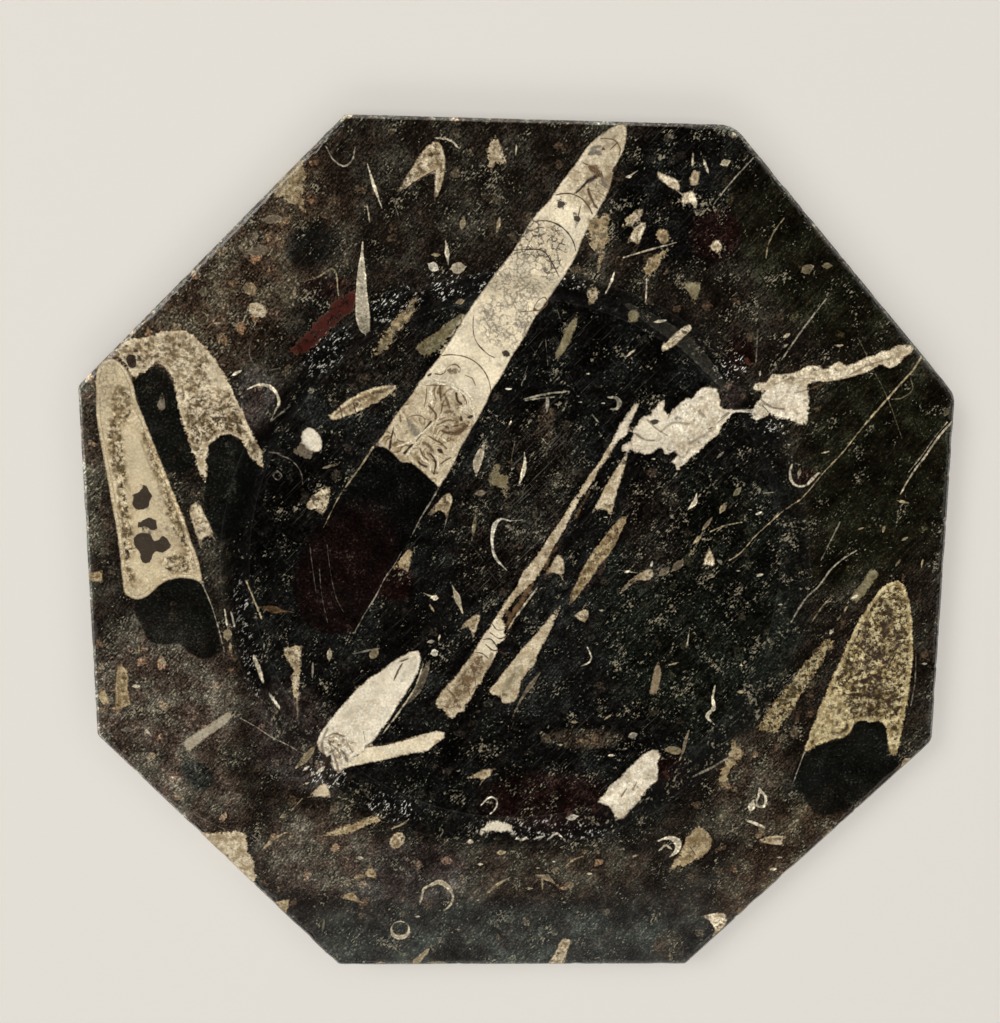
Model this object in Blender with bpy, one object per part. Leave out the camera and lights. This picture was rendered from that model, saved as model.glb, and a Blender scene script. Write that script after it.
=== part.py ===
"""An octagonal plate cut from one slab of black orthoceras limestone, with a round well ground into its face.

The plate lies on its back. The origin is the middle of the underside, +Z points up out of the polished face,
and +Y points to the corner pair where the longest fossil has its tip. Lengths are in metres.
"""

import math

import bmesh
import bpy
from mathutils import Vector

MM = 0.001

# Driving dimensions of the slab.
THICKNESS = 12.0 * MM
# The corners in order round the face, as (x, y, radius of the worn corner). The saw cuts aren't quite regular.
CORNERS = (
    (54.5 * MM, 125.0 * MM, 9.0 * MM),
    (-51.0 * MM, 125.0 * MM, 1.2 * MM),
    (-125.0 * MM, 51.0 * MM, 3.0 * MM),
    (-124.0 * MM, -51.0 * MM, 2.5 * MM),
    (-54.0 * MM, -125.0 * MM, 1.2 * MM),
    (53.5 * MM, -125.0 * MM, 1.5 * MM),
    (125.0 * MM, -51.5 * MM, 4.0 * MM),
    (122.5 * MM, 53.0 * MM, 5.0 * MM),
)
CORNER_STEPS = 6
# The arris is a chamfer with its two edges eased, as (inset, drop) from the sharp edge, out of the flat inwards.
FACE_ARRIS = (
    (1.30 * MM, 0.00 * MM),
    (0.95 * MM, 0.10 * MM),
    (0.10 * MM, 0.95 * MM),
    (0.00 * MM, 1.30 * MM),
)
BACK_ARRIS = ((0.00 * MM, 0.80 * MM), (0.80 * MM, 0.00 * MM))

# Driving dimensions of the well.
WELL_CENTRE = (-1.5 * MM, -0.5 * MM)
WELL_RADIUS = 84.5 * MM
WELL_DEPTH = 5.0 * MM
WALL_RUN = 5.0 * MM
LIP_RADIUS = 1.5 * MM
COVE_RADIUS = 3.5 * MM
FLOOR_DISH = 0.4 * MM
WELL_STEPS = 96
ARC_STEPS = 5
FLOOR_RINGS = 4
CUTTER_HEADROOM = 4.0 * MM

LIMESTONE_COLOUR = (0.022, 0.018, 0.015, 1.0)
LIMESTONE_ROUGHNESS = 0.22
SMOOTH_UNDER_DEGREES = 25.0


def clear_scene():
    """Removes whatever the file opened with."""
    for thing in list(bpy.data.objects):
        bpy.data.objects.remove(thing, do_unlink=True)


def inset_corners(inset):
    """The sharp corners of the outline moved in by inset, each with its own corner radius."""
    corners = [Vector(c[:2]) for c in CORNERS]
    moved = []
    for i, corner in enumerate(corners):
        before = (corner - corners[i - 1]).normalized()
        after = (corners[(i + 1) % len(corners)] - corner).normalized()
        bisector = (after - before).normalized()
        half_angle = before.angle(after) / 2
        radius = max(CORNERS[i][2] - inset, 0.2 * MM)
        moved.append((corner + bisector * (inset / math.cos(half_angle)), before, after, radius))
    return moved


def outline(inset, z):
    """The closed octagon with its worn corners as points at height z, anticlockwise seen from above."""
    points = []
    for corner, before, after, radius in inset_corners(inset):
        turn = before.angle(after)
        tangent = radius * math.tan(turn / 2)
        centre = corner - before * tangent + Vector((-before.y, before.x)) * radius
        start = math.atan2(-before.x, before.y)
        for step in range(CORNER_STEPS + 1):
            angle = start + turn * step / CORNER_STEPS
            points.append((centre.x + radius * math.cos(angle), centre.y + radius * math.sin(angle), z))
    return points


def slab_mesh():
    """The sawn octagon with both arrises, before the well is ground."""
    rings = [outline(inset, THICKNESS - drop) for inset, drop in FACE_ARRIS]
    rings += [outline(inset, height) for inset, height in BACK_ARRIS]
    bm = bmesh.new()
    loops = [[bm.verts.new(p) for p in ring] for ring in rings]
    bm.faces.new(loops[0])
    bm.faces.new(list(reversed(loops[-1])))
    for upper, lower in zip(loops, loops[1:]):
        for i in range(len(upper)):
            j = (i + 1) % len(upper)
            bm.faces.new((upper[j], upper[i], lower[i], lower[j]))
    bmesh.ops.recalc_face_normals(bm, faces=bm.faces)
    mesh = bpy.data.meshes.new("slab")
    bm.to_mesh(mesh)
    bm.free()
    return mesh


def arc(centre, radius, start, end):
    """Points (r, z) on an arc of the turned profile, both ends included. Angles are in degrees."""
    turns = [math.radians(start + (end - start) * i / ARC_STEPS) for i in range(ARC_STEPS + 1)]
    return [(centre[0] + radius * math.cos(a), centre[1] + radius * math.sin(a)) for a in turns]


def well_profile():
    """Half the section of what is ground out, as (r, z) from the axis at the floor to the axis above the face.

    The wall leans out at one slope between the cove at the floor and the eased lip at the face.
    """
    floor = THICKNESS - WELL_DEPTH
    lean = math.degrees(math.atan2(WELL_DEPTH, WALL_RUN))
    cove_tangent = COVE_RADIUS * math.tan(math.radians(lean) / 2)
    lip_tangent = LIP_RADIUS * math.tan(math.radians(lean) / 2)
    foot = WELL_RADIUS - WALL_RUN
    flat = foot - cove_tangent
    rings = [flat * i / FLOOR_RINGS for i in range(FLOOR_RINGS)]
    points = [(r, floor - FLOOR_DISH * (1 - (r / flat) ** 2)) for r in rings]
    points += arc((flat, floor + COVE_RADIUS), COVE_RADIUS, -90, -90 + lean)
    points += arc((WELL_RADIUS + lip_tangent, THICKNESS - LIP_RADIUS), LIP_RADIUS, 90 + lean, 90)
    above = THICKNESS + CUTTER_HEADROOM
    points += [(WELL_RADIUS + lip_tangent, above), (0.0, above)]
    return points


def well_cutter():
    """The grinding wheel's whole sweep as one closed turned solid, kept as a hidden cutter."""
    profile = well_profile()
    bm = bmesh.new()
    verts = [bm.verts.new((r, 0.0, z)) for r, z in profile]
    edges = [bm.edges.new(pair) for pair in zip(verts, verts[1:])]
    bmesh.ops.spin(
        bm, geom=verts + edges, axis=(0, 0, 1), cent=(0, 0, 0), steps=WELL_STEPS, angle=math.tau, use_merge=True
    )
    bmesh.ops.remove_doubles(bm, verts=bm.verts, dist=1e-6)
    bmesh.ops.recalc_face_normals(bm, faces=bm.faces)
    mesh = bpy.data.meshes.new("well_cutter")
    bm.to_mesh(mesh)
    bm.free()
    cutter = bpy.data.objects.new("well_cutter", mesh)
    cutter.location = (*WELL_CENTRE, 0.0)
    cutter.hide_render = True
    cutter.display_type = "WIRE"
    bpy.context.scene.collection.objects.link(cutter)
    return cutter


def limestone():
    """Polished black limestone."""
    material = bpy.data.materials.new("fossil_limestone")
    material.use_nodes = True
    shader = material.node_tree.nodes["Principled BSDF"]
    shader.inputs["Base Color"].default_value = LIMESTONE_COLOUR
    shader.inputs["Roughness"].default_value = LIMESTONE_ROUGHNESS
    shader.inputs["Metallic"].default_value = 0.0
    return material


def fossil_plate():
    """The finished plate: the slab with the well ground out of its face."""
    mesh = slab_mesh()
    mesh.materials.append(limestone())
    mesh.shade_smooth()
    mesh.set_sharp_from_angle(angle=math.radians(SMOOTH_UNDER_DEGREES))
    plate = bpy.data.objects.new("fossil_plate", mesh)
    bpy.context.scene.collection.objects.link(plate)
    ground = plate.modifiers.new("well", "BOOLEAN")
    ground.operation = "DIFFERENCE"
    ground.solver = "EXACT"
    ground.object = well_cutter()
    return plate


clear_scene()
fossil_plate()
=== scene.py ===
"""Dresses the orthoceras fossil plate: one octagon of polished black limestone with a ground well.

The fossils, veins and stains are drawn on the stone as plane shapes in millimetres, measured from the middle
of the plate, with +X to the right and +Y up the face. Each point of the stone's mesh then carries how far it
lies inside the shapes near it, and the finish turns those distances into edges, colour, grain and gloss.
"""
import logging
import math
import re
from dataclasses import dataclass
from enum import Enum
from typing import TypeVar

import bpy
import numpy as np
from mathutils import Matrix, Vector
from mathutils.geometry import delaunay_2d_cdt
from mathutils.kdtree import KDTree


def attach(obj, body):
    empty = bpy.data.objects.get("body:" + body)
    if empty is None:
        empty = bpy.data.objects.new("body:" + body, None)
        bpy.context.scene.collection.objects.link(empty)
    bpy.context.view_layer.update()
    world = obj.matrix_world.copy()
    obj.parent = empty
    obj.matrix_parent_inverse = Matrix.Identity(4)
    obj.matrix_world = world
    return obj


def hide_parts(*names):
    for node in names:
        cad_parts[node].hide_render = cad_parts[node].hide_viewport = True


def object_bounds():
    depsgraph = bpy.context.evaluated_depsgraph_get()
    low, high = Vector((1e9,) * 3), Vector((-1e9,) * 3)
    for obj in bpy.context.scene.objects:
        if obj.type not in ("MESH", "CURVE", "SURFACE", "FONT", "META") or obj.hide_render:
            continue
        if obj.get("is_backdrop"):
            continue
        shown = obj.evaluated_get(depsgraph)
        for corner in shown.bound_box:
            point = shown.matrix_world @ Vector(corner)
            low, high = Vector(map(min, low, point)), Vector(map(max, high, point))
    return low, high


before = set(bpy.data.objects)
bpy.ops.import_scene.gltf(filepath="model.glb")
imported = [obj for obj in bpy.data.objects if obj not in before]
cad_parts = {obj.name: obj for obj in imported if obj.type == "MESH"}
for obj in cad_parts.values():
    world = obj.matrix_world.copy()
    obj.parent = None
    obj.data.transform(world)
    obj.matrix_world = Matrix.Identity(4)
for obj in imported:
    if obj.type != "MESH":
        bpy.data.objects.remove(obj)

LOG = logging.getLogger("fossil_plate")
MM = 0.001
# What a point reads where nothing is near: the depth in a shape, and the half width and merit of a line.
FAR = -6.0
NOWHERE = -9.0
Array = np.ndarray
Triple = tuple[float, float, float]


class Tone(Enum):
    """The colours of what the stone is made of, as linear red, green and blue."""

    WHITE = (0.73, 0.665, 0.53)
    CREAM = (0.735, 0.65, 0.48)
    STRAW = (0.52, 0.435, 0.285)
    BONE = (0.54, 0.46, 0.32)
    TAN = (0.40, 0.32, 0.19)
    GOLD = (0.52, 0.44, 0.255)
    OLIVE = (0.20, 0.18, 0.105)
    ROSE = (0.245, 0.195, 0.130)
    RUST = (0.048, 0.0095, 0.0065)
    ASH = (0.36, 0.325, 0.245)
    DUSK = (0.15, 0.13, 0.10)
    BROWN = (0.105, 0.062, 0.030)
    UMBER = (0.034, 0.020, 0.015)
    JET = (0.0030, 0.0029, 0.0027)
    MOSS = (0.0045, 0.0052, 0.0040)
    FERN = (0.0068, 0.0064, 0.0034)
    SOOT = (0.0075, 0.0062, 0.0050)
    LOAM = (0.0403, 0.0287, 0.0189)
    OXBLOOD = (0.0085, 0.0034, 0.0028)
    EARTH = (0.0140, 0.0110, 0.0081)
    PEAT = (0.0342, 0.0274, 0.0201)
    SLATE = (0.0214, 0.0220, 0.0189)
    # The next tone is the rim's brown made paler by a painted reflection of hazy light.
    CLAY = (0.0573, 0.0451, 0.0354)
    PLUM = (0.0293, 0.0232, 0.0207)


@dataclass(frozen=True)
class Fossil:
    """A pale calcite filling with its closed outline.

    freckles is how much it is dotted with brown, veil how much it is clouded and crackled with grey, wall
    how plainly its shell wall shows as a smooth band inside the outline, and rag how far the edge frays, in
    millimetres.
    """

    outline: str
    tone: Tone
    freckles: float = 0.1
    veil: float = 0.2
    wall: float = 0.0
    rag: float = 0.25


@dataclass(frozen=True)
class Stain:
    """A closed shape of one dark colour, the mud that filled a chamber, or a hole in the calcite."""

    outline: str
    tone: Tone
    rag: float = 0.4


@dataclass(frozen=True)
class Streak:
    """A drawn line whose points are x, y and half width. One without its half width keeps the last one's."""

    path: str
    tone: Tone
    strength: float = 1.0


@dataclass(frozen=True)
class Fleck:
    """A small pointed oval, as the x and y of its middle, length, width, and angle from +X in degrees."""

    shape: str
    tone: Tone
    strength: float = 1.0


@dataclass(frozen=True)
class Patch:
    """A soft-edged part of the ground with its colour, in places painted shade and painted reflection, and
    its specks, scratches and painted glints.

    Its shape is the x and y of its middle, its half length and half width, and its angle from +X in degrees.
    """

    shape: str
    tone: Tone | None
    specks: float | None = None
    scratches: float | None = None
    glints: float | None = None
    amount: float = 1.0

    def habits(self) -> tuple[float | None, ...]:
        """Gives the amounts in the order in which the mesh carries them."""
        return self.specks, self.scratches, self.glints


@dataclass(frozen=True)
class Bloom:
    """A soft-edged part of the calcite with its own brown freckles, grey veil and crumpled folds.

    Its shape is given as a patch's is.
    """

    shape: str
    tone: Tone | None
    freckles: float | None = None
    veil: float | None = None
    folds: float | None = None
    amount: float = 1.0

    def habits(self) -> tuple[float | None, ...]:
        """Gives the amounts in the order in which the mesh carries them."""
        return self.freckles, self.veil, self.folds


Shape = TypeVar("Shape", Fossil, Stain, Streak, Fleck, Patch, Bloom)


def numbers_in(word: str) -> list[float]:
    """Takes apart numbers that are joined by commas."""
    return [float(number) for number in word.split(",")]


def drawn(kind: type[Shape], table: str) -> tuple[Shape, ...]:
    """Reads shapes from a table.

    Args:
        kind: What they are.
        table: For each shape the name of its tone, or SAME for none, then the numbers that belong to all of
            it, in the order of the class or by name, and then its points, whose numbers are joined by
            commas. A line that starts with # is a remark.

    Returns:
        The shapes in the table's order.
    """
    lines = [line for line in table.splitlines() if not line.startswith("#")]
    shapes = []
    for item in re.findall("[A-Z]+[^A-Z]+", " ".join(lines)):
        name, *words = item.split()
        tone = None if name == "SAME" else Tone[name]
        points = [word for word in words if "," in word]
        named = [word.split("=") for word in words if "=" in word]
        numbers = [float(word) for word in words if "," not in word and "=" not in word]
        named = {key: float(value) for key, value in named}
        shapes.append(kind(" ".join(points), tone, *numbers, **named))
    return tuple(shapes)


FOSSILS = drawn(Fossil, """
# The longest fossil, tip at the top edge and mouth in the well.
CREAM .12 .45 .25 .15 24.8,124.6! 21.5,123.4 19.9,122.4 14.7,118.1 11.8,113.8 7.5,108.1 5.1,104.3 .4,99 -5,90
 -10.8,82.4 -17.4,72.9 -21.7,65.7 -24.8,60.9 -28.6,56.2! -29.3,54.8! -30.6,53.6! -31.2,52.2! -33.1,49.4
 -37.4,43.7 -40,39.4 -43.1,35.1! -40.3,34.7 -37.9,32.8 -35.5,30.4! -32.7,30.4! -30.3,28.5 -27.4,25.9 -25.5,24
 -24.8,23! -22.9,26.1 -21.2,29 -18.4,35.1 -15.5,40.4 -14.1,42.8 -11.7,47.5 -10,51.3 -7,56.1 -4.6,60.9 -.3,68
 .9,70.5 5.6,77.6 9.4,83.8 12.3,89 14.7,95.2 18.5,101.9 20.9,106.7 22.3,112.9 24.7,118.1 25.1,121.9
# The two broad fossils at the left edge.
STRAW .28 .25 1 .15 -116.2,58.7 -118.6,57.3 -119.5,54.2 -119.8,49 -119.8,41.3 -119,34.7 -117.6,25.1 -116.7,18
 -115.7,10.9 -115,2.8 -114.5,-4.5 -114,-7.8 -112.4,-9.2 -109.5,-9.5 -106.2,-7.3 -103.3,-4.7 -99.5,-3.3
 -95.7,-3.3 -93.3,-4 -91.9,-5.2! -92.4,-1.1 -93.3,3.1 -94.8,7.5 -96.7,14.2 -99,20.4 -101.4,27 -103.8,33.7
 -106.2,40.4 -108.6,47 -110,53.2 -111.4,56.1 -113.3,58
BONE .8 .25 .4 .5 -113.3,60.4 -111.9,63.2 -109.5,64.2 -106.2,64.7 -103.3,65.1 -101.4,66.3 -98.6,66.6
 -95.2,66.8 -92.4,65.1 -89.5,62.3 -87.1,59.4 -84.8,55.6 -82.4,50.9 -80,45.6 -78.1,41.3 -76.7,37.5 -75.2,32.8
 -75,28.4! -76.7,29.9 -78.3,32.8 -79.3,35.6 -81.9,37.8 -84.8,38.2 -87.1,37 -89,35.1 -89.8,31.8 -90,27
 -90.5,24.7! -91.4,26.1 -93.3,31.8 -95,37 -96.7,43.2 -97.9,49 -98.6,53.7 -99.5,55.4 -101,56.8 -102.4,58.2
 -104.3,56.6 -107.1,54.7 -109,53.7 -111,56.6
# The freckled fossil at the right edge and the narrow one beside it.
GOLD 1.35 .1 .7 .4 109.9,-1.6 107.7,-2.3 105.3,-4 103.4,-6.9 101.8,-9.2 100.6,-11.6 99.1,-14.5 97.7,-18.3
 96,-22.1 94.9,-25.9 93.4,-29.7 92,-33.5 91,-36.9 89.6,-40.7 88.4,-45 87.2,-48.8 86.5,-51.6 85.8,-55.4!
 87.2,-54.5 89.1,-53 92.5,-51.6 95.3,-50.7 98.2,-49.7 99.6,-47.8 100.6,-45.4 102.5,-44.7 105.8,-45.2
 107.7,-44.7 110.1,-46.4 111,-50.2 111.8,-54 112.5,-55.7! 114.1,-55.4! 114.9,-51.1 115.3,-45.4 116,-39.2
 116.3,-32.1 116.5,-25 115.8,-17.8 114.9,-11.6 113.7,-6.9 112,-3.5
OLIVE .5 .2 0 .5 102.5,1.7 104.1,.8 103,-1.6 101.5,-4 100.1,-6.4 98.2,-8.3! 96.3,-7.3! 97.7,-5 99.6,-2.1
 100.8,.3
GOLD 1.2 .2 0 .9 92.5,-20! 90.1,-20 88.2,-22.1 85.8,-25 83.4,-28.3 81,-32.1 78.2,-35.9 75.3,-40.2 73,-44
 71,-47.8! 73,-48 74.4,-48.3 76.8,-49.7! 77.7,-47.8 78.7,-45.4 81,-43 82.5,-38.8 84.9,-35 86.8,-31.1
 89.1,-26.9 90.6,-23.5 92.5,-21.6!
# The white fossil at the lower left of the well and the rod that crosses its mouth.
WHITE .16 .25 .3 .25 -30.5,-25.9 -32.7,-26.4 -35.5,-27.8 -38.4,-29.7 -41.2,-32.1 -45,-34.5 -46,-35.7
 -48.9,-38.3 -51.2,-41.1 -54.1,-44.5 -57.4,-48.8 -59.8,-52.6 -60.3,-55 -58.9,-57.3 -56.5,-59.2 -54.6,-62.6
 -51.7,-62.1 -50.3,-59.7 -47,-57.8 -45.5,-55.4 -44.1,-54.5 -42.7,-53 -41.2,-50.7 -38.9,-47.3 -37,-44
 -34.6,-40.2 -32.7,-36.9 -31.2,-34 -30,-31.1 -29.6,-28.3
CREAM .15 .15 0 .3 -22.2,-51.4 -24.1,-50.9 -26.5,-51.4 -30.8,-52.6 -35.5,-54.2 -40.3,-55.4 -45,-56.1
 -49,-59.2 -54.6,-63.5! -51.7,-62.6 -46,-61.3 -41.2,-60.2 -36.5,-59 -31.7,-57.8 -27,-56.9 -25.5,-55.4
 -23.6,-54 -22,-52.5
BONE .2 -57.4,-65.5 -56.2,-67.9 -56,-69.8! -58.9,-69.6 -62.7,-69.8! -60.8,-67.9 -58.9,-66
# The beaded stem across the middle of the well.
BONE .67 .3 .2 .35 32.5,48.5! 31.1,48.5! 29.4,45.6 27.5,42.8 26.1,39.9 24.2,36.1 21.8,31.8 19,27.5 16.1,22.8
 13.2,18 10.9,14.2 8.5,10.4 5.6,5.6 2.3,.9 -.1,-2.5 -1.7,-6.4 -5,-11.1 -6.2,-13 -7.4,-15.4 -8.6,-17.3
 -8.9,-18.3! -10.5,-20.2 -11.7,-22.1! -13.1,-24.5 -14.1,-26.4! -16,-29.2 -17.9,-32.1 -20.3,-35 -22.7,-37.8
 -24.6,-41.1 -25,-43.3! -22.7,-44.2 -21.2,-46.1 -19.6,-46.9 -18.4,-45.2 -16.5,-44.5 -16.2,-42.6 -14.6,-41.1
 -13.6,-38.3 -11.2,-35 -10,-32.1 -8.9,-30.2 -7.4,-27.3 -6.7,-25.4 -7.2,-24! -5.5,-23 -4.6,-21.6 -4.8,-19.7!
 -4.4,-18.2 -5.6,-15.6 -3.6,-12.2 -1.2,-9 1,-6.6 3.6,-4.2 5.1,-1.6 7,1.3 9.4,6.6 11.8,10.9 13.7,15.1
 16.1,19.9 19.4,25.1 22.3,29.9 24.7,33.7 27,37.5 29,39.4 29.9,42.3 31.3,45.1
BONE .44 .35 0 .3 11.6,-11.6! 9.4,-14 6.6,-17.8 3.2,-22.1 -.1,-25.9 -2.2,-28.8 -5,-32.6 -7.9,-36.4 -10,-39!
 -7,-39.7 -5.5,-40! -5,-41.6 -2.7,-41.9 -.8,-40.9! 0,-38.3 .7,-35 2.6,-31.6 3.7,-30.7 5.6,-25.9 7.5,-22.1
 9.4,-17.8 10.9,-14
BONE .61 .2 0 .3 29.7,34.4! 28.5,32.8 26.1,28.5 23.7,24.2 21.8,20.4 20.2,16.6! 21.8,17.5 23.7,17.5 25.1,16.3
 25.6,14.7! 26.1,17.5 26.6,20.4 27.5,24.2 28.5,27.5 29.4,31.3
TAN .95 .2 0 .4 29.9,15.4! 28.5,15.1! 26.6,12.8 23.7,9 21.3,5.6 19.4,2.8 18,0 16.6,-3.4 14.7,-8.3 14.2,-11.3!
 16.6,-8.8 18.5,-5.9 20.9,-2.6 22.8,.8 24.7,2.9 27,7 29,11.3 30.1,13.7
# The ragged white vein that thickens at the upper right, in three pieces that run together.
WHITE .42 .3 0 .35 28.2,34.9 28.5,36.6 30.4,37.5! 31.1,39.4 30.9,40.9 32.3,42.3 33.2,44.2 35.1,45.1!
 36.3,45.3 36.3,46.6! 37.5,47.5 38.5,49.4 39.7,49.4! 39.9,46.6 41.3,45.1! 42.5,47 43.7,48! 45.6,49.9 48,50.4!
 49.2,52.3 50.4,53.2 52.8,53.5 54.7,52.8 55.6,50.4 55.9,48.5! 57.5,47.3 59.9,47.2 60.6,46.6! 59,45.1 57,42.8
 55.6,39.9 52.8,37.5 50.4,34.7 48,32.8 45.6,30.4 43.7,27.5 42.3,25.4! 44.2,29 43.7,30.9! 42.8,31.8 44.2,33.7!
 43.2,34.7 41.8,34! 40.4,34.2 39.9,35.6 39,35.9 37.8,35.1 36.6,34! 34.7,33.7 33.2,34.7 31.8,34.2! 30.9,35.6
 29.9,34.7
WHITE .4 .2 0 .55 69.1,55.2! 72,55.4 79.4,55.2! 80.1,49 80,44.2! 78.2,43.7 76.3,44.7! 73.4,45.1 70.6,45.9
 68.7,47! 68,45.6 66.5,44.2! 65.1,45.1 64.9,47 65.3,49.4 67.2,52.8
CREAM .61 .15 0 .3 108.9,66.3! 107.2,66.6 103.9,66.3 102,65.1! 99.6,64.7 98,63.5! 95.3,63 92.5,61.3
 90.1,60.6! 87.7,61.6 85.8,60.4! 83,59.4 82.5,60.4! 78.7,60.1 75.8,58.5 72,57.8 69.1,57.8! 67.2,55.4
 64.9,55.4! 63.7,53.7 64.9,53.2! 67.7,53.2 70,54 79.4,54.9! 81,55.9 84.4,55.9 88.7,56.8 93.4,58 97.2,59.4!
 99.6,60.9 102.5,60.1! 104.9,61.1 106.3,63.2 108.9,65.1
# The white fossil at the lower edge of the well.
WHITE .35 .25 0 .3 42.3,-56.4 40.1,-56.9 37,-59.2 34.2,-62.1 31.3,-65.4 29.4,-67 26.6,-70.8 24.7,-73.6!
 26.6,-73.9 28.5,-74.6 29.4,-76 29.9,-77.6! 32.3,-76.5 35.1,-74.1 37.5,-71.7 39.4,-69.3 41.3,-67.4 42.8,-66
 43,-64.1 42.8,-60.8 43.4,-58.4
# Smaller ones in the well.
STRAW .8 .2 .3 -56.7,43.3! -54.1,45.1 -52.7,46.6 -49.3,49 -44.6,51.3 -39.8,52.3 -37.3,52.4! -37.4,51.6
 -39.8,49.2 -43.6,47 -47.9,44.9 -52.7,43 -55,42.3
WHITE .05 -62.6,39.8 -64,38.4 -63.9,36.2 -62.6,33.8 -60.3,33 -58.4,33.8 -58.3,36 -59.4,38.6 -61,39.9
DUSK .6 .4 0 .8 -66,33! -63.1,35.6 -60.8,32.8 -61.2,30.4!
BONE .79 .2 0 .5 -56.2,22.8! -56.2,20.4 -57,17 -57.9,15.6 -58.9,15.4 -59.8,16.3! -62,16.3 -62.9,17.5!
 -61.2,19.9 -58.9,22
BONE .88 .3 -21.7,21.6 -20.8,19.9 -21.7,16.6 -22.4,13.5! -22.9,15.6 -24.6,16.6 -26.5,15.4 -28,15.1! -25.8,18
 -23.6,20.4
OLIVE .6 .3 0 .7 -8.9,30.6! -7.4,29.9 -7,27.5 -5.3,27 -4.8,22.8 -5.2,20.2! -7,23.7 -9.8,24.2! -10,26.6
 -9.3,28.5
BONE .79 -12.2,-13.6! -12.2,-15.4 -12.9,-18.3 -14.1,-21.8! -14.8,-19.7 -15.5,-18.3! -18,-19.1! -16,-16.4
 -13.6,-14.5
TAN .7 .3 0 .5 -33.1,4.7 -32.4,4 -32.7,1.3 -33.6,-1.8! -35.5,-.5 -37.5,-1! -35.5,2.3
BONE .79 .2 0 .5 -69.8,-25! -67.6,-25.2 -66.7,-24.2 -64.8,-24.5! -65,-30.2 -65.5,-35.4 -65.7,-41.3!
 -66.7,-40.7 -67.6,-35.9 -67.1,-31.6! -68.1,-30.2 -69.5,-28.8!
BONE .88 10.6,3.6 11.6,3.1 12.3,-.2 12,-3.6! 11.1,-2.3 9.4,-1.6 7.4,-2! 8.5,.3
BONE .79 15.8,-14.7! 18,-13 19.7,-12.8 20,-14.5 19,-16.5! 17,-15.7
CREAM .79 55.1,6.4 55.9,4.7 56.8,1.8 56.3,.9! 55.1,1.3 53.1,.3! 54.2,4.2
BONE .79 37.8,-.2 38.8,-1.5 38.5,-3 36,-3.8! 34.8,-3.5 31,-6.3 28.3,-8.5! 30.5,-5.5 33.5,-2.5 36,-.8
ROSE .45 41.6,-28.3! 42.5,-31.6 42,-35.9 40.9,-38.8 39.2,-38.6! 39.9,-34.5 40.4,-30.7
BONE .79 -14.9,-65.6! -12.2,-64.1 -9.3,-62.9 -7.7,-62.9 -8.1,-64.8 -9.8,-66 -11.3,-68! -11,-66.2 -13.1,-65.8
WHITE .02 .05 0 .5 -11,-82.6! -10.3,-81 -8.4,-80 -5.5,-79.6 -3.1,-80 -1.2,-81.2 -.9,-82.9! -2.7,-82 -5,-82.2
 -7.4,-81.7 -9.3,-82
TAN .6 .4 0 .9 -31,77.6! -33.6,75.4 -38.5,69.5 -42.2,64.3 -44.2,60.4! -40.8,61.6 -37.6,66 -34.2,70.6 -31.4,75
OLIVE .7 .4 0 .8 -19.2,73.2! -22,71.2 -27.2,66.6 -31.8,63.4! -29.4,60.6! -25.4,62.4 -21.6,67.6 -18.9,71.6
RUST 0 0 0 .9 -47.9,78.3 -51.5,77 -56.5,72.3 -62,66.4 -66.6,61.6! -63,60.8 -58.5,64.2 -53,69.6 -48.3,74.6
OLIVE .45 .3 13.6,73.2! 12,71.2 9.8,66.4 8.2,61.4 8.6,60.7! 10.4,62.6 12.6,67.4 14,71.6
# The rim, clockwise from the top left.
TAN .75 .4 0 .9 -72.6,106.6! -70,104 -61.5,99.4! -62.2,104.5 -61.6,110 -63.4,114.6!
BONE .88 .3 0 .3 -25.9,118.4 -28.6,117.2 -31.4,113.6 -34,109.4 -36.6,105.2! -34.4,106 -31.7,107.7 -28.6,109.6
 -26.5,110.7! -26.6,106.4 -26.5,103! -24.7,107.1 -24,111 -24.1,115.4
BONE .8 .4 0 .7 -10.5,120.2! -12.2,117 -12.2,113.6 -11.7,111.4! -10.2,113.4 -8.8,113.2 -7.2,112.6! -8.2,116
BONE .88 .4 0 .5 -72.4,72.2 -74,74.4 -76.6,74.4 -77.4,72.8 -75.8,71 -73.4,70.8
CREAM .79 34.1,112! 37.4,110.8 40.2,109.6! 40.2,106.8! 37,108.4 33.8,110.8!
CREAM .79 41.6,102.2! 41,104.4 42,106.6 43.8,107 45,105.4 45,101.6! 44.2,103.6 42.8,104.2
BONE .79 44,112.6! 45.6,112.2! 45.4,110.4 44.8,108.4 43.4,108.8! 43,110.6
CREAM .79 31.2,98.4 29.4,98 27.6,95.6 26.6,93! 28.4,93.4 29.4,92.4! 30.8,95.4
BONE .79 .2 0 .6 30.2,102 28.2,101.4 25.4,98.6 24.6,97.2! 27.2,98 29.8,100
TAN .6 .3 0 .9 15.2,99.8 17.6,99 20.6,100.6 21.6,97 20.6,92 19.6,88 18.8,85.6! 18.4,90 16.6,91.4 16,95
TAN .88 .2 0 .6 34.4,95.8 36.4,97 37.8,95.6 37.4,93.2 35.2,93.6
TAN .79 .2 0 .7 31,85.6! 33.6,89.6 38,91.2! 36,88.2 34.4,85.6 32.6,83.6!
CREAM .79 .2 0 .4 49.2,92.6! 51.6,94.2 52.6,93.6 52.2,90.8! 50.4,91.4
OLIVE .5 .3 0 .5 42.4,82 44.2,82.6 47.6,82.4! 47.2,79.8 46,76.8! 44.8,79.4
BONE .88 .3 0 .6 16,80! 18.4,80.6 19.8,78.4! 17.6,76.4
CREAM .79 45.2,71.2! 43,70.2 40.4,67 38.2,64.4 38.6,63.4! 41,64.6 43.6,67.2 45.6,70!
OLIVE .45 .3 28.4,74.4 30.2,75 31.2,73 30,71.4 28.6,72.2
TAN .6 .3 0 .9 64.5,-51.5! 67,-53.5 66.5,-57 64,-60 63,-64.8! 60.6,-64 61.5,-60 63,-56
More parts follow.
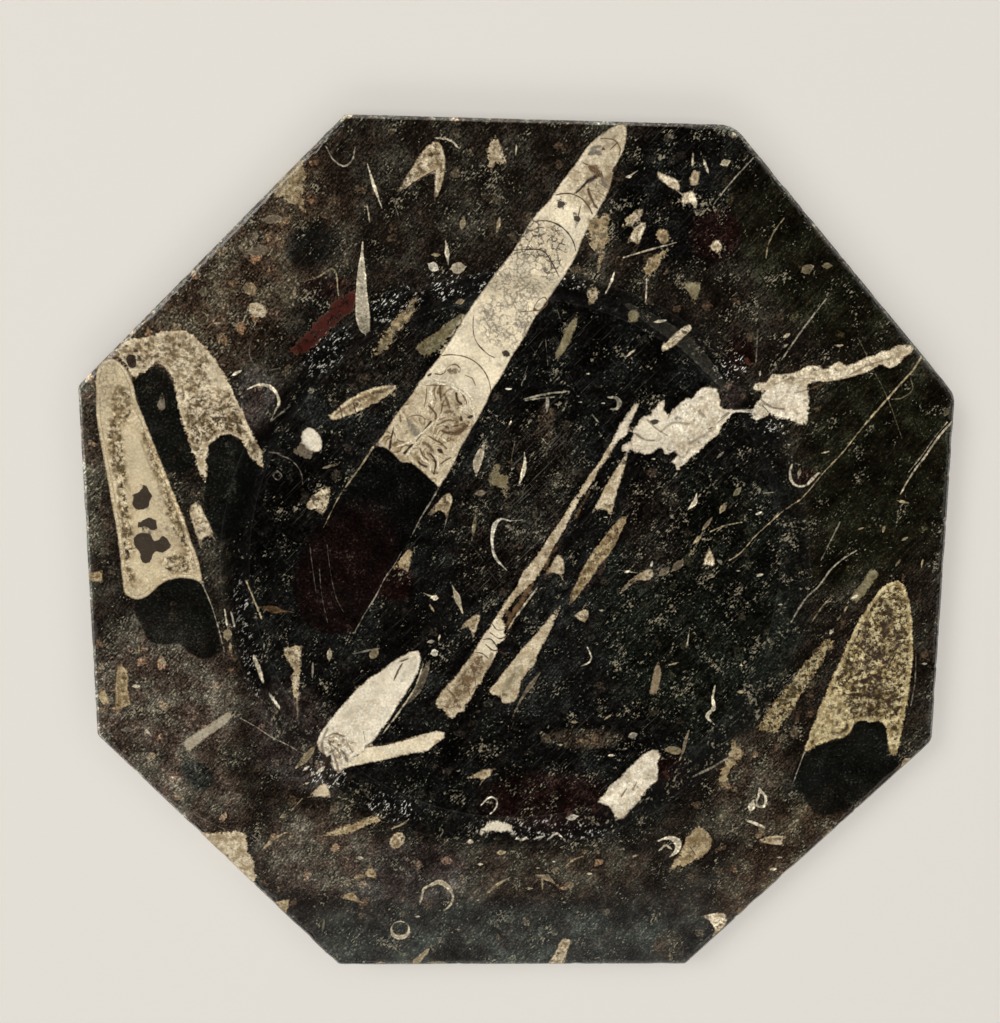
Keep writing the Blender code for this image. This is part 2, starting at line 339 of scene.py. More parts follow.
BONE .79 73.4,-83.6! 76.8,-82 80.1,-81.7 83,-82.1! 81,-83.4 81.5,-85! 78.2,-84.6 75.8,-84.1
TAN .7 .3 0 .6 55.6,-78.4 56.6,-79.8 58.5,-81.2 59.2,-84.1 58.5,-86.5 56.1,-88.9 53.7,-90.3 51.3,-91.7
 49.4,-91.7 47,-93.3! 47.5,-91.2 49.4,-88.9 50.4,-86.5 51.3,-83.6 52.8,-80.8 54.2,-79.8
CREAM .79 57.3,-108.7! 59.9,-107.7 62.3,-107.3 64.7,-107.7 65.4,-109.1 64.9,-111.7 63.2,-113.6 61.1,-115.5!
 62,-113.1 60.9,-111.2 59.9,-109.6
BONE .79 .3 15.1,-116 17.3,-116.2 16.6,-119.3 15.4,-125.5! 10,-125.5! 12.8,-120.3
TAN .79 .3 0 .6 -60.4,-82.2! -56.5,-80.8 -51.7,-78.9 -47,-77.4 -45,-76.2 -40.8,-75.9! -40.8,-77 -44.6,-78.4
 -47,-79.8 -50.3,-81.2 -53.1,-81.9 -57.4,-82.1
BONE .79 .3 -34.6,-80.9 -33.9,-82.4 -34.4,-84.8 -35.8,-86 -37.7,-85.9 -38.3,-84.4 -37.6,-82.2 -36,-80.9
TAN .79 .4 -44.3,-90.8! -43.3,-92.5 -42.4,-94.5 -42.3,-95.8! -45,-95.5 -50.5,-96.7! -48,-94.7 -45.3,-93.8
TAN .79 -53.4,-101.6! -49,-100.7 -47.5,-103 -45.8,-104.2! -49,-103.2 -51.5,-102.7
BONE .6 .3 0 .6 -96,-80! -92.4,-81.4 -90.5,-81.5 -86.2,-80.8 -83.8,-80.5 -81.4,-81.7 -81,-84.6 -80,-88.4
 -78.8,-91.2 -79.5,-93.6! -78.3,-95 -79.6,-98! -86,-97 -95,-88
TAN .79 .3 -74.5,-103.8! -70.5,-103 -68.6,-102.6! -68.6,-104.5 -70,-107.8! -73,-107
ASH .3 -85.2,-42.9! -84.2,-44.5! -86.2,-46.9 -90,-49.7 -94.8,-53.5 -97.6,-56.5! -98.1,-54.5! -99.9,-53.5!
 -95.7,-50.2 -90,-46.4
TAN .79 .3 -116.2,-29 -114.8,-30.2 -114.3,-35.9 -113.7,-41.3! -115.7,-42.1 -118,-43.2! -117.9,-37.8
 -117.4,-32.1
TAN .88 .3 0 .6 -121.7,-36.2 -120.5,-37.8 -120.2,-41.3 -121.9,-41.1 -122.8,-39.2
TAN .79 -126,-2.6! -120.2,-1.3! -120.2,-4.6! -126,-4.3!
BONE .79 .35 0 .3 -93.3,18.8 -94.8,17 -94.8,14.7 -93.8,11.3 -92.9,8 -92,5.4! -91.9,8! -90,9.2 -88.8,9
 -88,7.9! -89.5,12.3 -91,15.6 -92.1,18
DUSK .45 -101.6,49.6! -101,47 -101.2,44.9 -102.6,44.9 -103.1,46.3 -102.4,47.5
""")

CHAMBERS = drawn(Stain, """
JET -43,34.5 -40,34.2 -37.9,32.4 -35.5,30 -32.7,30 -30,28 -27,25.4 -25,23 -28.5,16 -32.5,8.5 -37,.5 -42,-6.5
 -46,-14.5 -50,-20.5 -56,-21 -62,-19 -66,-12 -67,-4 -64,4 -61,10 -57,16 -52,21.5 -47,30 -45,32.5
MOSS -111,-9.7 -111.4,-13.5 -109.5,-17.9 -107.6,-22 -103.3,-23 -99.5,-22.6 -96.7,-25 -91.9,-27.3 -87.6,-24.5
 -88.4,-17.8 -90,-9.7 -91.9,-5.2 -95.7,-3.3 -103.3,-4.7 -106.2,-7.3
JET .9 -90,27 -89,35 -84.8,38.2 -80,35.5 -77,30 -78,20 -80,12 -86,8 -90,15
MOSS .6 -108.8,53 -104.3,56.2 -101,56.4 -99,53 -97.3,45 -95,36.5 -93,30.5 -97,27 -101,28 -104,34 -107,43
MOSS .6 86,-55.5 89,-53.4 95.3,-51.2 99,-49.5 101,-45.5 107,-45.3 110,-47 112.4,-56.3 114.5,-56 115,-58
 110.5,-63 105,-69 98,-74 92,-75 86,-68 83,-64 84,-59
""")

HOLES = drawn(Stain, """
UMBER -109.4,24.9! -108.6,23.7 -106.7,23.5! -106.3,22.2 -105.1,20.3! -106,19.2 -106.5,17.5 -108.1,16.6
 -109.9,16.2! -111,18.4 -110.6,19.6 -111.2,20.9! -109.8,21.2 -108.5,22
UMBER -109.5,12.8! -108.6,13.2 -105.7,14.2 -104.5,13.5! -104.2,10.6! -106.2,10.6 -107,11.4 -109,11.3
 -109.8,10.9!
UMBER -111,8 -109,9.7 -106.7,9.7 -105.2,7.5! -104,7.8 -102.9,9.2 -101.4,8! -100.2,5.9! -101.4,5.1 -102.9,4.2!
 -105.2,4.2 -106.2,2.3 -107.1,1.1 -108.8,1.3 -109.5,4.2 -110.7,6.1
UMBER 7.9,104.9! 8.4,103.6 9.6,103.2! 8.7,102.2 8.6,100.8! 7.6,101.9 6.3,101.6! 7,102.8 6.4,104! 7.4,103.8
UMBER 11.2,100.8! 12.6,100.4 13.4,99! 12.6,97.6 12,95.9! 11.7,98
BROWN .7 -110.9,59.3 -109.3,59.9 -108.4,58.4 -108.9,56.4 -110.2,56.2 -111,57.6
BROWN .6 -7.2,62.6 -5.9,62.9 -4.9,61.4 -6.2,60.8
UMBER .5 36,43.5! 37.2,44 38.9,43.4! 37.7,42.6 36.4,42.6
UMBER 22.2,19.8! 23.8,19.9! 23.9,18.7! 22.3,18.6!
UMBER 24.4,18.9! 25.9,19! 25.8,17.9! 24.6,17.9!
""")

MUD_TONES = drawn(Patch, """
JET -36,20,18,14,45 OXBLOOD amount=.8 -52,-4,22,14,70 MOSS amount=.8 -84,24,14,18,0 MOSS -100,-14,16,14,0
MOSS -102,44,14,18,0 MOSS 98,-60,20,16,0
""")

# The faint pale ASH band below runs along the well's wall at the upper right and is a painted highlight, not
# a vein.
# The three white wiggles below, on the well's lip, are painted glints.
# The white spot below is a painted glint, not a ridge.
VEINS = drawn(Streak, """
# Ridges in the mouth of the longest fossil.
CREAM -29.5,52.8,.85 -27.5,53.7 -24.7,53.6 -22.2,53.1 -20.1,52.2 -17.5,50.6 -15.9,48.7 -15.3,46.5
CREAM -36.7,35,.45 -33.8,36.1 -31,37.9 -28.1,40.4 -26.6,41.9
CREAM .95 -34.1,32.4,.5 -32.4,34.7 -30.6,36.6
CREAM -27.4,51.7,.7 -27.2,48.8 -26.9,47.3
CREAM .95 -18.6,46.3,.9 -17.8,45.8 -17,46.9
WHITE -15,44.8,.5 -14.5,43.7 -14.6,42.5
CREAM .85 -26,38.4,.5 -23.8,37.5 -22.2,36
CREAM .9 -30.6,33.3,.45 -29.5,31.4 -27.3,30 -27.2,28.3
CREAM .9 -24.4,28,.5 -23,29.8 -21.1,30.9 -20,32.1
CREAM .8 -25.5,32.7,.4 -25,30.9 -25.1,28.4
CREAM .7 -37.8,41.2,.5 -36.9,39 -37.2,36.9
BONE .8 -22.3,50,.45 -21.8,48.2 -21.2,45.7
CREAM .7 -23.9,45,.35 -25.3,42.8 -26.3,40.6
CREAM .6 -20.2,35.7,.5 -21.2,33.5 -23,32
# Long veins and the shell walls that run on past the calcite.
TAN 111.5,63.7,.5 109.1,59.4 106.3,56.1,.45 102.5,51.3 98.7,46.6,.4 94.4,40.9,.35 90.6,35.6,.3 86.8,31.3,.25
 81,23.7 75.3,17 68.7,10.4 63.4,4.2 60.9,2.6,.2
BONE 121.8,45.1,.45 118.7,41.3,.5 114.9,35.1,.45 111.5,29.9,.4 108.7,24.2,.3
ASH 120.4,45,.2 117.3,40.8 113.6,34.8 110.6,30.6
OLIVE .6 93,68,.15 95.3,64.2,.2 98.2,59 101.5,53.7 107.7,40.4,.15
OLIVE .8 108.7,57.5,.2 109.6,54.2,.3 106.8,51.8 103.9,51.3,.2
WHITE 59,46.6,.6 62,46.9 65.3,47,.8
ASH 97,7.2,.25 93,4.5,.35 90.2,1.8,.4 86.8,-3.4 83,-7.5,.35 81,-12,.3 79.8,-15.2,.2
TAN .6 91,-6.4,.3 88.2,-9.7,.35 85.3,-14.5,.3
ASH .6 91.5,15.4,.4 89.6,10.9,.3 86.8,4.2,.15
TAN .8 -43.6,34.7,.55 -46,30.9,.45 -49.3,26.1,.38 -52.7,21.3,.3 -58,11,.12
ASH .8 -24.8,23,.4 -27,19,.35 -28.9,15.9,.28 -32.7,8.5,.16
ASH .75 -35.4,4,.12 -37.4,.3,.2 -40,-3.5,.22 -43.1,-9.7,.25 -46,-14.5 -49.3,-20.7,.2
ASH .85 -91.9,-5.2,.35 -90,-10,.28 -87.9,-17.3,.25 -86.2,-25,.18
ASH .8 85.8,-55.4,.3 83,-65.4,.15
BONE -28.8,-30,.3 -31,-37,.4 -36,-45,.42 -40.5,-51.5,.3
BONE 4.5,-6.3,.45 1,-11.5,.5 -1.5,-15,.45 -3.6,-18.8,.35
ASH .85 -84.3,-44,.2 -77.6,-47.8,.22 -72.9,-51.1 -68,-53.6 -63.3,-56.9,.16
ASH .8 64.7,-55.4,.3 58.5,-59.8,.5 52.8,-63.5,.3
ASH .9 60.1,116.2,.25 54.6,110,.28 49.9,103.8,.2
ASH .9 83,79,.3 77,70.6,.4 71.5,61.9,.3
TAN .7 69.6,100.5,.2 67.5,97.5,.3 65.6,93 65.3,89.5,.2
ASH .09 27.5,76.2,.8 36,71.5,1.6 43.2,67,1.8 50.5,60.5,1.6 57.5,52.8,.9
DUSK 64.2,70,.3 64.2,61
# Crescents, rings and curls.
CREAM -78,51,.25 -75.2,52.2,.5 -72,51.8,.75 -70,49.8,.6 -69.6,47.3,.55 -70.7,45,.35 -72.1,42.2,.2
ASH .7 -67.1,46.1,.2 -70,43.7,.4 -72.1,42,.3
DUSK -76.9,64.2,.2 -77.4,60.9,.25 -75.7,57.5 -72.9,56.3 -69,57,.2
DUSK -71,32.3,.2 -66.7,30.4,.25 -64.3,27,.2 -63.8,23.7,.15
DUSK -71,27.5,.2 -69.7,26.1 -71,24.8 -72.3,26.1 -71,27.5
DUSK -73.3,32.8,.35 -70.5,32.5,.4
WHITE -.3,14,.15 -4.1,13.7,.3 -6.5,14.2,.5 -8.1,12.8,.85 -8.9,9.9,.75 -8.9,6.1,.6 -7.7,2.3,.65 -6,.4,.4
 -4.6,-1,.2
ASH -.6,49.2,.3 2.8,50.1,.45 7,51,.4 12,51.6,.3
ASH .8 -.1,48.8,.3 3.7,49.5,.35 8,49.9,.3
ASH .9 6,49.7,.7 6.1,47.8,.75 6,46,.5
ASH 23.6,50.1,.3 25.9,49.9,.7 26.8,48.5,.9 26.1,46.9,.6 24.4,46.7,.3
CREAM 76.5,32.3,.3 76.3,29.9,.5 78,26.1 80.6,26.1 83,28.5,.7 84.4,29.9,.4
ASH .9 -55.8,116.2,.2 -53.5,112.6,.3 -50.8,111.4,.35 -48.9,113,.3 -48.1,116.2,.2
BONE -26.5,119.3,.3 -22.2,118.6,.4 -20.5,117.1,.3
TAN .7 -63.1,80.5,.2 -58.4,81.9,.3 -54.3,84.3 -52.7,77.1,.2
OLIVE .9 -90.5,72.1,.25 -88.9,71.2,.3 -88.7,69.4 -90.5,68.3,.25 -92.2,69.3 -92.3,71.2 -90.5,72.1
BONE -29.1,-104.1,.4 -28.4,-101.7,.6 -27.9,-99.3 -25.5,-97.9,.7 -23.6,-97,.9 -20.8,-98.4 -19.1,-101.2,.6
 -19.8,-104.6,.5 -21.7,-106.5,.3
BONE -35,-109.9,.25 -33,-110.7,.3 -32.3,-112.6,.5 -33,-114.6,.8 -35,-115.3,.9 -37,-114.6,.8 -37.7,-112.6,.5
 -37,-110.7,.3 -35,-109.9,.25
WHITE -10.8,-74.5,.3 -9.3,-72.8,.4 -7.7,-71.9,.45 -6.3,-72.6 -6,-74.5,.4 -6.8,-76.1,.35 -8,-77.3,.25
CREAM 43,-83.5,.4 46.5,-82.5,.8 49,-84,1.1 49,-86.5,.9 47,-88.5,.5
BONE 43.6,-86.5,.4 45.5,-85,.6 47,-86,.5
CREAM 73,-66.5,.5 75,-69,.6 74.5,-72.5 72.5,-72,.5 72.8,-69 73,-66.5,.4
DUSK -79.5,-81.7,.3 -77.6,-83.6,.4 -78.1,-86.5,.3
CREAM 20.1,-24.5,.3 20.9,-26.2,.4 21.3,-28 20.4,-29.2 18.5,-30.2,.3
# Needles, spindles and splinters.
CREAM -44.8,112.1,.1 -43.2,107,.65 -40.8,100.5,.15
BONE -44.9,101.4,.25 -44.2,97.1,.35
CREAM .9 -46.1,91.5,.3 -46.4,85,1 -46.4,77,1.6 -46.1,71.5,1.9 -45.8,67.5,1.3
CREAM -23.5,92.4,.2 -23,89,.85 -22.7,86.2,.2
BONE -11.1,37.8,.1 -12.2,35,.8 -13.9,29.5,1.1 -13.9,27,.5
CREAM -.2,33.8,.1 0,30.5,.7 -.5,27.5,.8 -1.5,24.6,.3
ASH -22.4,13.7,.35 -23.1,10.9,.1
OLIVE -13.9,17.4,.1 -14.3,12,.8 -15,7.5,.15
BONE -20.6,-5.5,.1 -19.2,-9,1 -17.3,-14.2,.3
BONE -26,-9.4,.4 -28.8,-8.3,.15
ROSE .8 6.1,-32.3,.3 3.7,-35.9,.9 .9,-40.2,.6 -1.7,-45.9,.2
CREAM 50.4,22.3,.3 50,19.9,.9 48.5,18.2,.5
TAN .9 55.1,11.3,.25 59.4,13.2,.3 64.2,14.2,.2
ASH 28.5,-.6,.15 31,-1,.2 34,-1.4,.15
CREAM 59,-36,.4 58.5,-40,.6 59,-43,.8 57,-45.5,.7 59.3,-48,.4
ROSE 51.8,-50.2,.3 51,-53,.7 50.3,-57,.6 49.4,-59.7,.2
BONE .8 50.4,-18.8,.25 49.9,-23.5
ROSE .6 -27,-29.2,.6 -28.5,-33,1.1 -30.5,-38 -33,-41.6,.7
TAN .8 -61,-55.5,.8 -63.5,-58,1.1 -66,-60.5,.5
DUSK -49.3,-26.9,.3 -45.5,-26,.5 -42,-25.2,.4
CREAM -85.8,-12.5,.4 -85.3,-17,.45
WHITE -84.2,-13.5,.3 -83.3,-17.5,.4
CREAM -78.3,-27.3,.5 -77,-31,.75 -75.7,-35,.5
WHITE -73.8,-38.8,.5 -71.2,-43,.55
TAN .8 -80.5,-5,.3 -76.2,-16.4,.35
BROWN .9 -76,-12.8,.5 -73,-13.6,1.2 -70,-14,.6 -66.7,-14.5,.2
ROSE .8 -66.2,-41.6,.6 -66,-47.3,.3
ROSE -57.7,28.5,.5 -53.9,29.7,.6
DUSK -95.7,-55.4,.3 -95.5,-61.6,.4
TAN -75.7,-86,.6 -72.9,-83.1,.7 -69.5,-81.2,.3
DUSK -104.8,-69.8,.25 -96,-75.5,.3 -87.1,-80.3,.2
TAN .6 -64.3,-70.3,.3 -67.6,-74.1,.35
TAN -37.5,-79.7,.4 -33.3,-77.8,.5
TAN -26.5,-119.6,.8 -30.5,-124,1.1
TAN .8 -8.5,-100.5,.5 -5,-97.5,.7 -1.7,-95.5,.2
TAN .8 6.3,-94.9,.5 9.5,-95.6,1 11.8,-97.4,.4
TAN .8 8,-96,.7 8.2,-99.3,.3
TAN .8 15,-92,.3 17,-90,.5 20.2,-88.6,.4
CREAM 70,-77,.5 72.5,-77.8,.75 75,-79,.5
ASH 83,-78.5,.4 85.5,-76.5
WHITE -.1,-83.6,.3 .5,-83.3,.35 1.3,-84 2.8,-83.4 3.5,-83.6,.3
WHITE 5.1,-83.6,.3 6.5,-83.2,.35 8.5,-82.9,.3
WHITE 9.4,-83.6,.3 11,-82.6,.35 12,-82,.4 13.7,-82.7,.3
BONE 25.6,89,.2 32,91,.38 39.9,93.3,.25
CREAM 46.6,115.2,.5 47.8,112.4,.55
BONE 43.5,117,.4 43.5,114,.5
BONE 26.1,110.5,.4 28.5,112.1,.15
CREAM 21.3,79.5,.3 22.3,82,.5 23.2,84.8,.3
BONE 32.3,83.3,.3 32.3,77.1,.38
DUSK -37.9,103.3,.3 -36.5,99
BONE -4.6,118,.3 -4.8,115.5
ASH .8 -77.6,72.9,.18 -79,69,.15
BONE 4.9,37.8,.3 5.9,36.8
ASH 19.4,44.7,.3 20.9,43
DUSK 117.4,-24,.2 117.8,-33,.3 117.2,-40,.2
DUSK .8 -3,37,.2 -4,31
# Fine scratches in the polish.
DUSK 5.1,66.1,.12 5.9,59
DUSK 1.6,61.3,.12 4.2,65.6
DUSK .1,58.5,.12 -1.5,53.2
DUSK 8,74.8,.12 9.4,71
DUSK .7 -62,6,.1 -61.5,1.2,.12 -60.8,-4.5 -60.3,-8.3,.1
DUSK .7 -57,6,.1 -56,-2.6,.12 -54.1,-10.7 -52.4,-14,.1
DUSK .7 -59.3,-1.1,.1 -58.4,-10.7,.12 -57,-17.3,.1
""")

# The WHITE fleck at 17,-78.1, on the well's wall, is a painted glint.
FLECKS = drawn(Fleck, """
CREAM -81,55.4,3.2,1.4,30 ROSE .9 -12.7,21.8,3.4,2,10 WHITE -5.3,52,1.7,1,0 BONE -4.6,42,1.9,.9,60
BONE 29.5,62.8,3.1,1.1,40 WHITE 14.7,50.3,.9,.8,0 WHITE 15.5,48.6,.9,.7,0 WHITE 22.1,48.4,.9,.8,0
BONE 17.5,56.7,.9,.8,0 BONE 7.4,56.4,.9,.8,0 WHITE 37.3,32.5,1,.8,0 WHITE 24,15.1,1,.9,0
OLIVE 62.3,23.2,3.5,2,50 ASH .8 56.8,34,2.8,1.3,45 TAN .8 58.5,18.5,4,2,60 TAN .8 54,13.5,5,1.6,55
TAN .8 51.5,9,4,1.5,50 TAN .8 50,5,3,1,50 ROSE .7 46,1,5,2.4,45 ROSE .7 42,-1,4,2.4,40
WHITE 38.2,1.3,2.1,1.3,80 CREAM 31.1,-1.1,1.9,1.2,20 ASH 24,-13,1.6,1.2,0 TAN 109.6,21.8,3.6,1.4,-10
OLIVE .6 120.1,48,3,2,60 ROSE 78.7,29.9,2.5,1.5,80 BONE 86,35.9,2.6,.8,15 BONE 87.7,66.1,2.2,.9,10
TAN 104.6,13.7,2.1,1.4,80 TAN 97.7,13.7,2.3,1,20 OLIVE 111,10.9,2.2,1.3,30 TAN 116.8,3.7,2.7,.9,85
TAN .8 109.6,3.7,2.5,1.2,60 WHITE 69.1,17,2.1,1.3,20 WHITE 66.5,18,1,.8,0 WHITE 65.6,57.8,1.6,1,90
CREAM 70.6,-1.6,2.1,1.5,20 CREAM 66.5,-29.5,1,1,0 TAN 66.8,-37.8,2.2,1.4,0 BONE 77.2,-10.4,1.2,1,0
BONE 63.9,-.4,1.2,1,0 BONE 75.1,37.9,1,.8,0 BONE 78.7,16.1,1,.8,0 BONE 71.5,23.1,3,.7,6
WHITE 97.2,58.5,1,.8,0 ASH 118.7,-14.5,1.5,.8,0 ASH 120.1,-26.9,1.5,1.3,0 TAN .9 117.2,-57.8,3.3,2.4,45
CREAM 97.7,-6.6,2.3,1.5,30 CREAM 91.5,-17.3,2.1,1.7,60 OLIVE 93.5,-13,2,1.1,60 TAN 95.2,-10.4,1.8,1.1,60
CREAM -111.9,-35.7,2.4,1.7,0 ASH -108.8,-50,3,1.4,-45 DUSK -115,-49,3.6,2,0 DUSK -106.2,-45.9,2.2,1.6,0
TAN -110.7,-24.7,2.8,.8,88 BONE -87.1,-58,1,.9,0 TAN .85 -85.2,-19.9,4,2.6,88 TAN .8 -84.5,-23.7,3,1.4,88
ASH .8 -75.7,-25,2.6,.7,88 WHITE -25.5,-26.4,2.7,2.4,20 ASH -26.5,-23,2.2,1.6,10 BONE -24.1,-21.6,2.2,.8,80
WHITE -63,-60.7,2.5,1.4,40 WHITE -58.9,-61.6,2.6,1.6,30 CREAM -61.2,-62.4,2,1.2,60 CREAM -63.1,-65.5,1.9,1,20
CREAM -25.5,-9.7,2.4,2,0 TAN -26.5,-12.6,3,1,-60 BONE .9 -56.5,-27.3,4,1.9,88 ASH .8 -61.5,-32.1,5,1,88
TAN .6 -43.4,-26.9,4,2.6,60 TAN 46.1,-29.2,3.3,.9,15 ASH .8 34.7,-51.9,3.1,2.2,20 TAN 27,-46.1,2.7,1.1,40
TAN 16.8,-47.8,2.1,1.5,0 CREAM 28.5,-58.3,2.1,1.3,0 BONE 12.8,-55,1.5,1,0 TAN .7 47.5,-56.5,6,2.6,-10
TAN .8 -70,-75.8,2.2,1.8,30 ASH -47.2,-89.3,1.9,1.7,0 CREAM -29.8,-108.4,1.3,1.2,0
CREAM -17.4,-112.7,1.3,1.2,0 DUSK -41.2,-107.9,1.5,.8,0 OLIVE -58.4,-111.7,5,1.2,80 TAN -41,-123.9,3,1.4,5
TAN .7 -23.6,-124,7,1.8,0 BROWN -7,-62.9,1.3,1,0 WHITE .8 17,-78.1,4,1.8,10 CREAM -14.1,-84.1,2.2,1.7,0
BONE -11,-91.2,1.7,1.5,0 TAN .8 -4.6,-87.4,3,2,10 BONE -11.5,-103,.9,.9,0 BONE 4,-99.1,1.8,1.6,0
WHITE 11.6,-90.3,1,.9,0 BONE 6.6,-92.4,1.3,1,0 BONE 22.3,-94.3,1.7,1.4,0 TAN 36.1,-88.4,2.5,1.1,10
CREAM 71,-72.2,4,2.3,80 BONE 80.6,-88.9,1.7,1.1,0 BONE 78.9,-92.7,2.3,1.5,0 TAN .7 -18.9,97,4,1.9,80
TAN .7 -9.1,97,4.5,1.5,80 WHITE -26.8,85.4,3.5,2.5,-30 BONE -20,85.2,4.5,3,10 TAN -26.1,88.6,2.6,1.5,0
TAN .8 -19.3,76.2,2.8,1.9,20 OLIVE .5 -89.5,77.3,3,2.6,0 BONE -86,68.9,2,.8,0 ROSE .8 -75.2,92.4,3,2,80
ROSE .7 -74.5,88.6,6,2.8,15 ROSE .7 -70.5,97,6,2.4,10 TAN .5 -77,78.5,4,3.4,0 TAN .8 -64.8,77.6,4,1.5,80
CREAM 26.1,110.5,1.5,1.4,0 BONE .9 52.5,114.8,3,2.2,20 CREAM 37,71.9,3.3,1.4,10 TAN .5 77,87,4,2.6,30
TAN .5 82.5,88,3,2,0 BONE 87.2,66.2,2,.8,0 BONE .9 72.5,68.6,2.5,1.6,30 BONE .9 72.2,65.7,1.9,1.2,30
""")

